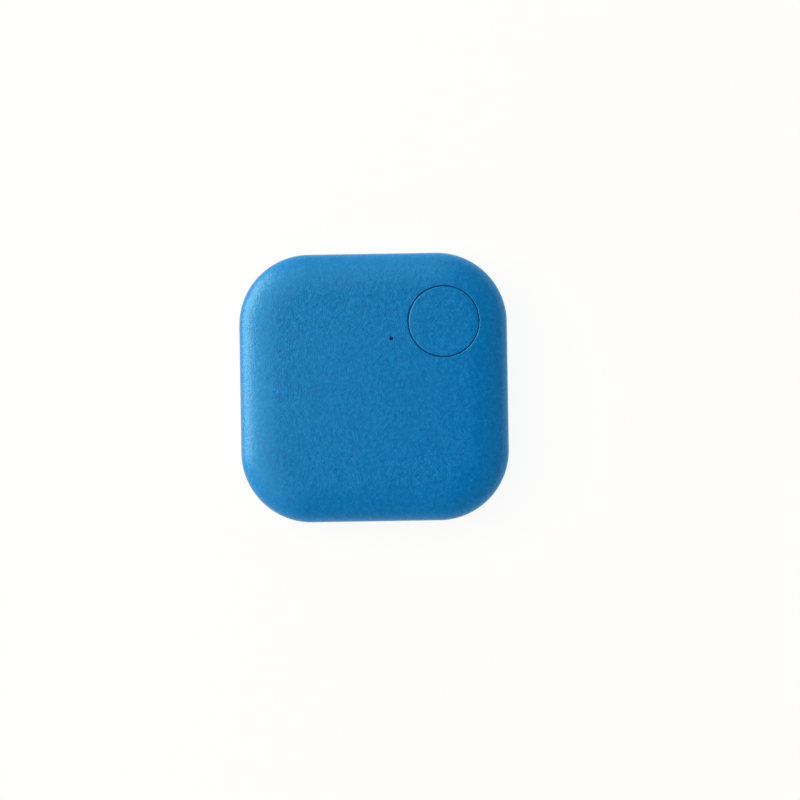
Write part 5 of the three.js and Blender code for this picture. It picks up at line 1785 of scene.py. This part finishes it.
pad_foam = foam("pad_foam", (0.045, 0.048, 0.053))
silvered_ceramic = silvered("silvered_ceramic", (0.72, 0.68, 0.6), (0.6, 0.59, 0.57), CERAMIC_RADIUS - 0.35,
                            SOUNDER_PLACE)

# %% [markdown]
# ## Dressing
# Each piece now gets its finish, rides on the body that carries it, and hides the plain solid that it stands
# for. Solder, tracks and legs are extra detail on the board, so they hide nothing.

# %% Dressing the pieces
def dress(piece, body, material, slot, *nodes):
    """Finish, body, material slot (not used) and the frame nodes that the piece replaces."""
    piece.data.materials.clear()
    piece.data.materials.append(material)
    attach(piece, body)
    if nodes:
        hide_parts(*nodes)


dress(front_shell, "front_case", case_blue, "case_plastic", "front_shell")
dress(rear_cover, "rear_case", case_blue, "case_plastic", "rear_cover")
dress(button_cap, "button", case_blue, "button_plastic", "button_cap")
dress(battery_pad, "rear_case", pad_foam, "foam", "battery_pad")
dress(cell_can, "battery", can_steel, "cell_steel", "cell_can")
dress(cell_cap, "battery", cap_steel, "cell_steel", "cell_cap")
dress(cell_gasket, "battery", seal_plastic, "gasket_plastic", "cell_gasket")
dress(cell_cathode, "battery", cathode_black, "cathode", "cell_cathode")
dress(cell_anode, "battery", anode_grey, "anode", "cell_anode")
dress(battery_tray, "front_case", tray_black, "tray_plastic", "battery_tray")
dress(positive_contact, "front_case", gilt, "contact_metal", "positive_contact")
dress(negative_contact, "front_case", gilt, "contact_metal", "negative_contact")
dress(circuit_board, "front_case", board_green, "board_laminate", "circuit_board")
dress(board_tracks, "front_case", track_green, "board_laminate")
dress(board_eyelets, "front_case", plated, "plated_copper")
dress(board_solder, "front_case", tin, "plated_copper")
dress(block_end_caps, "front_case", tin, "plated_copper")
dress(transistor_legs, "front_case", tin, "plated_copper")
dress(wire_solder, "front_case", tin, "plated_copper")
for screw, screw_node in zip(board_screws, SCREW_NODES):
    dress(screw, "front_case", screw_steel, "screw_steel", screw_node)
dress(switch_base, "front_case", switch_black, "switch_plastic", "switch_base")
dress(switch_dome, "front_case", dome_steel, "switch_steel", "switch_dome")
dress(switch_plate, "front_case", plate_steel, "switch_steel", "switch_plate")
dress(switch_plunger, "switch_plunger", plunger_ivory, "plunger_plastic", "switch_plunger")
dress(sounder_tape, "front_case", tape_black, "sounder_tape", "sounder_tape")
dress(sounder_plate, "front_case", brass, "sounder_brass", "sounder_plate")
dress(sounder_ceramic, "front_case", silvered_ceramic, "sounder_ceramic", "sounder_ceramic")
dress(sounder_lead_red, "front_case", wire_red, "lead_red", "sounder_lead_red")
dress(sounder_lead_black, "front_case", wire_black, "lead_black", "sounder_lead_black")
dress(radio_chip, "front_case", chip_black, "chip_resin", "radio_chip")
dress(radio_crystal_base, "front_case", base_ceramic, "chip_resin")
dress(radio_crystal_lid, "front_case", lid_metal, "crystal_metal", "radio_crystal")
dress(watch_crystal_base, "front_case", base_ceramic, "chip_resin")
dress(watch_crystal_lid, "front_case", lid_metal, "crystal_metal", "watch_crystal")
dress(boost_coil, "front_case", ferrite_grey, "ferrite", "boost_coil")
dress(driver_body, "front_case", chip_black, "chip_resin", "driver_transistor")
for block in BLOCKS:
    kinds = [
        (CAPACITORS + ["reservoir_capacitor"], capacitor_tan, "capacitor_ceramic"),
        (RESISTORS, resistor_black, "resistor_ceramic"),
        (MATCHING_COILS, coil_blue, "coil_ceramic"),
        (["diode"], chip_black, "chip_resin"),
    ]
    for names, material, slot in kinds:
        if block in names:
            dress(block_bodies[block], "front_case", material, slot, block)
for material_slot in bpy.data.objects["aerial_trace"].material_slots:
    material_slot.material = plated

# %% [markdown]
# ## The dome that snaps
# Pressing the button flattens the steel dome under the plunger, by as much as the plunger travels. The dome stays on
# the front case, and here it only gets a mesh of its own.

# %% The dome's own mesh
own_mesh(switch_dome)
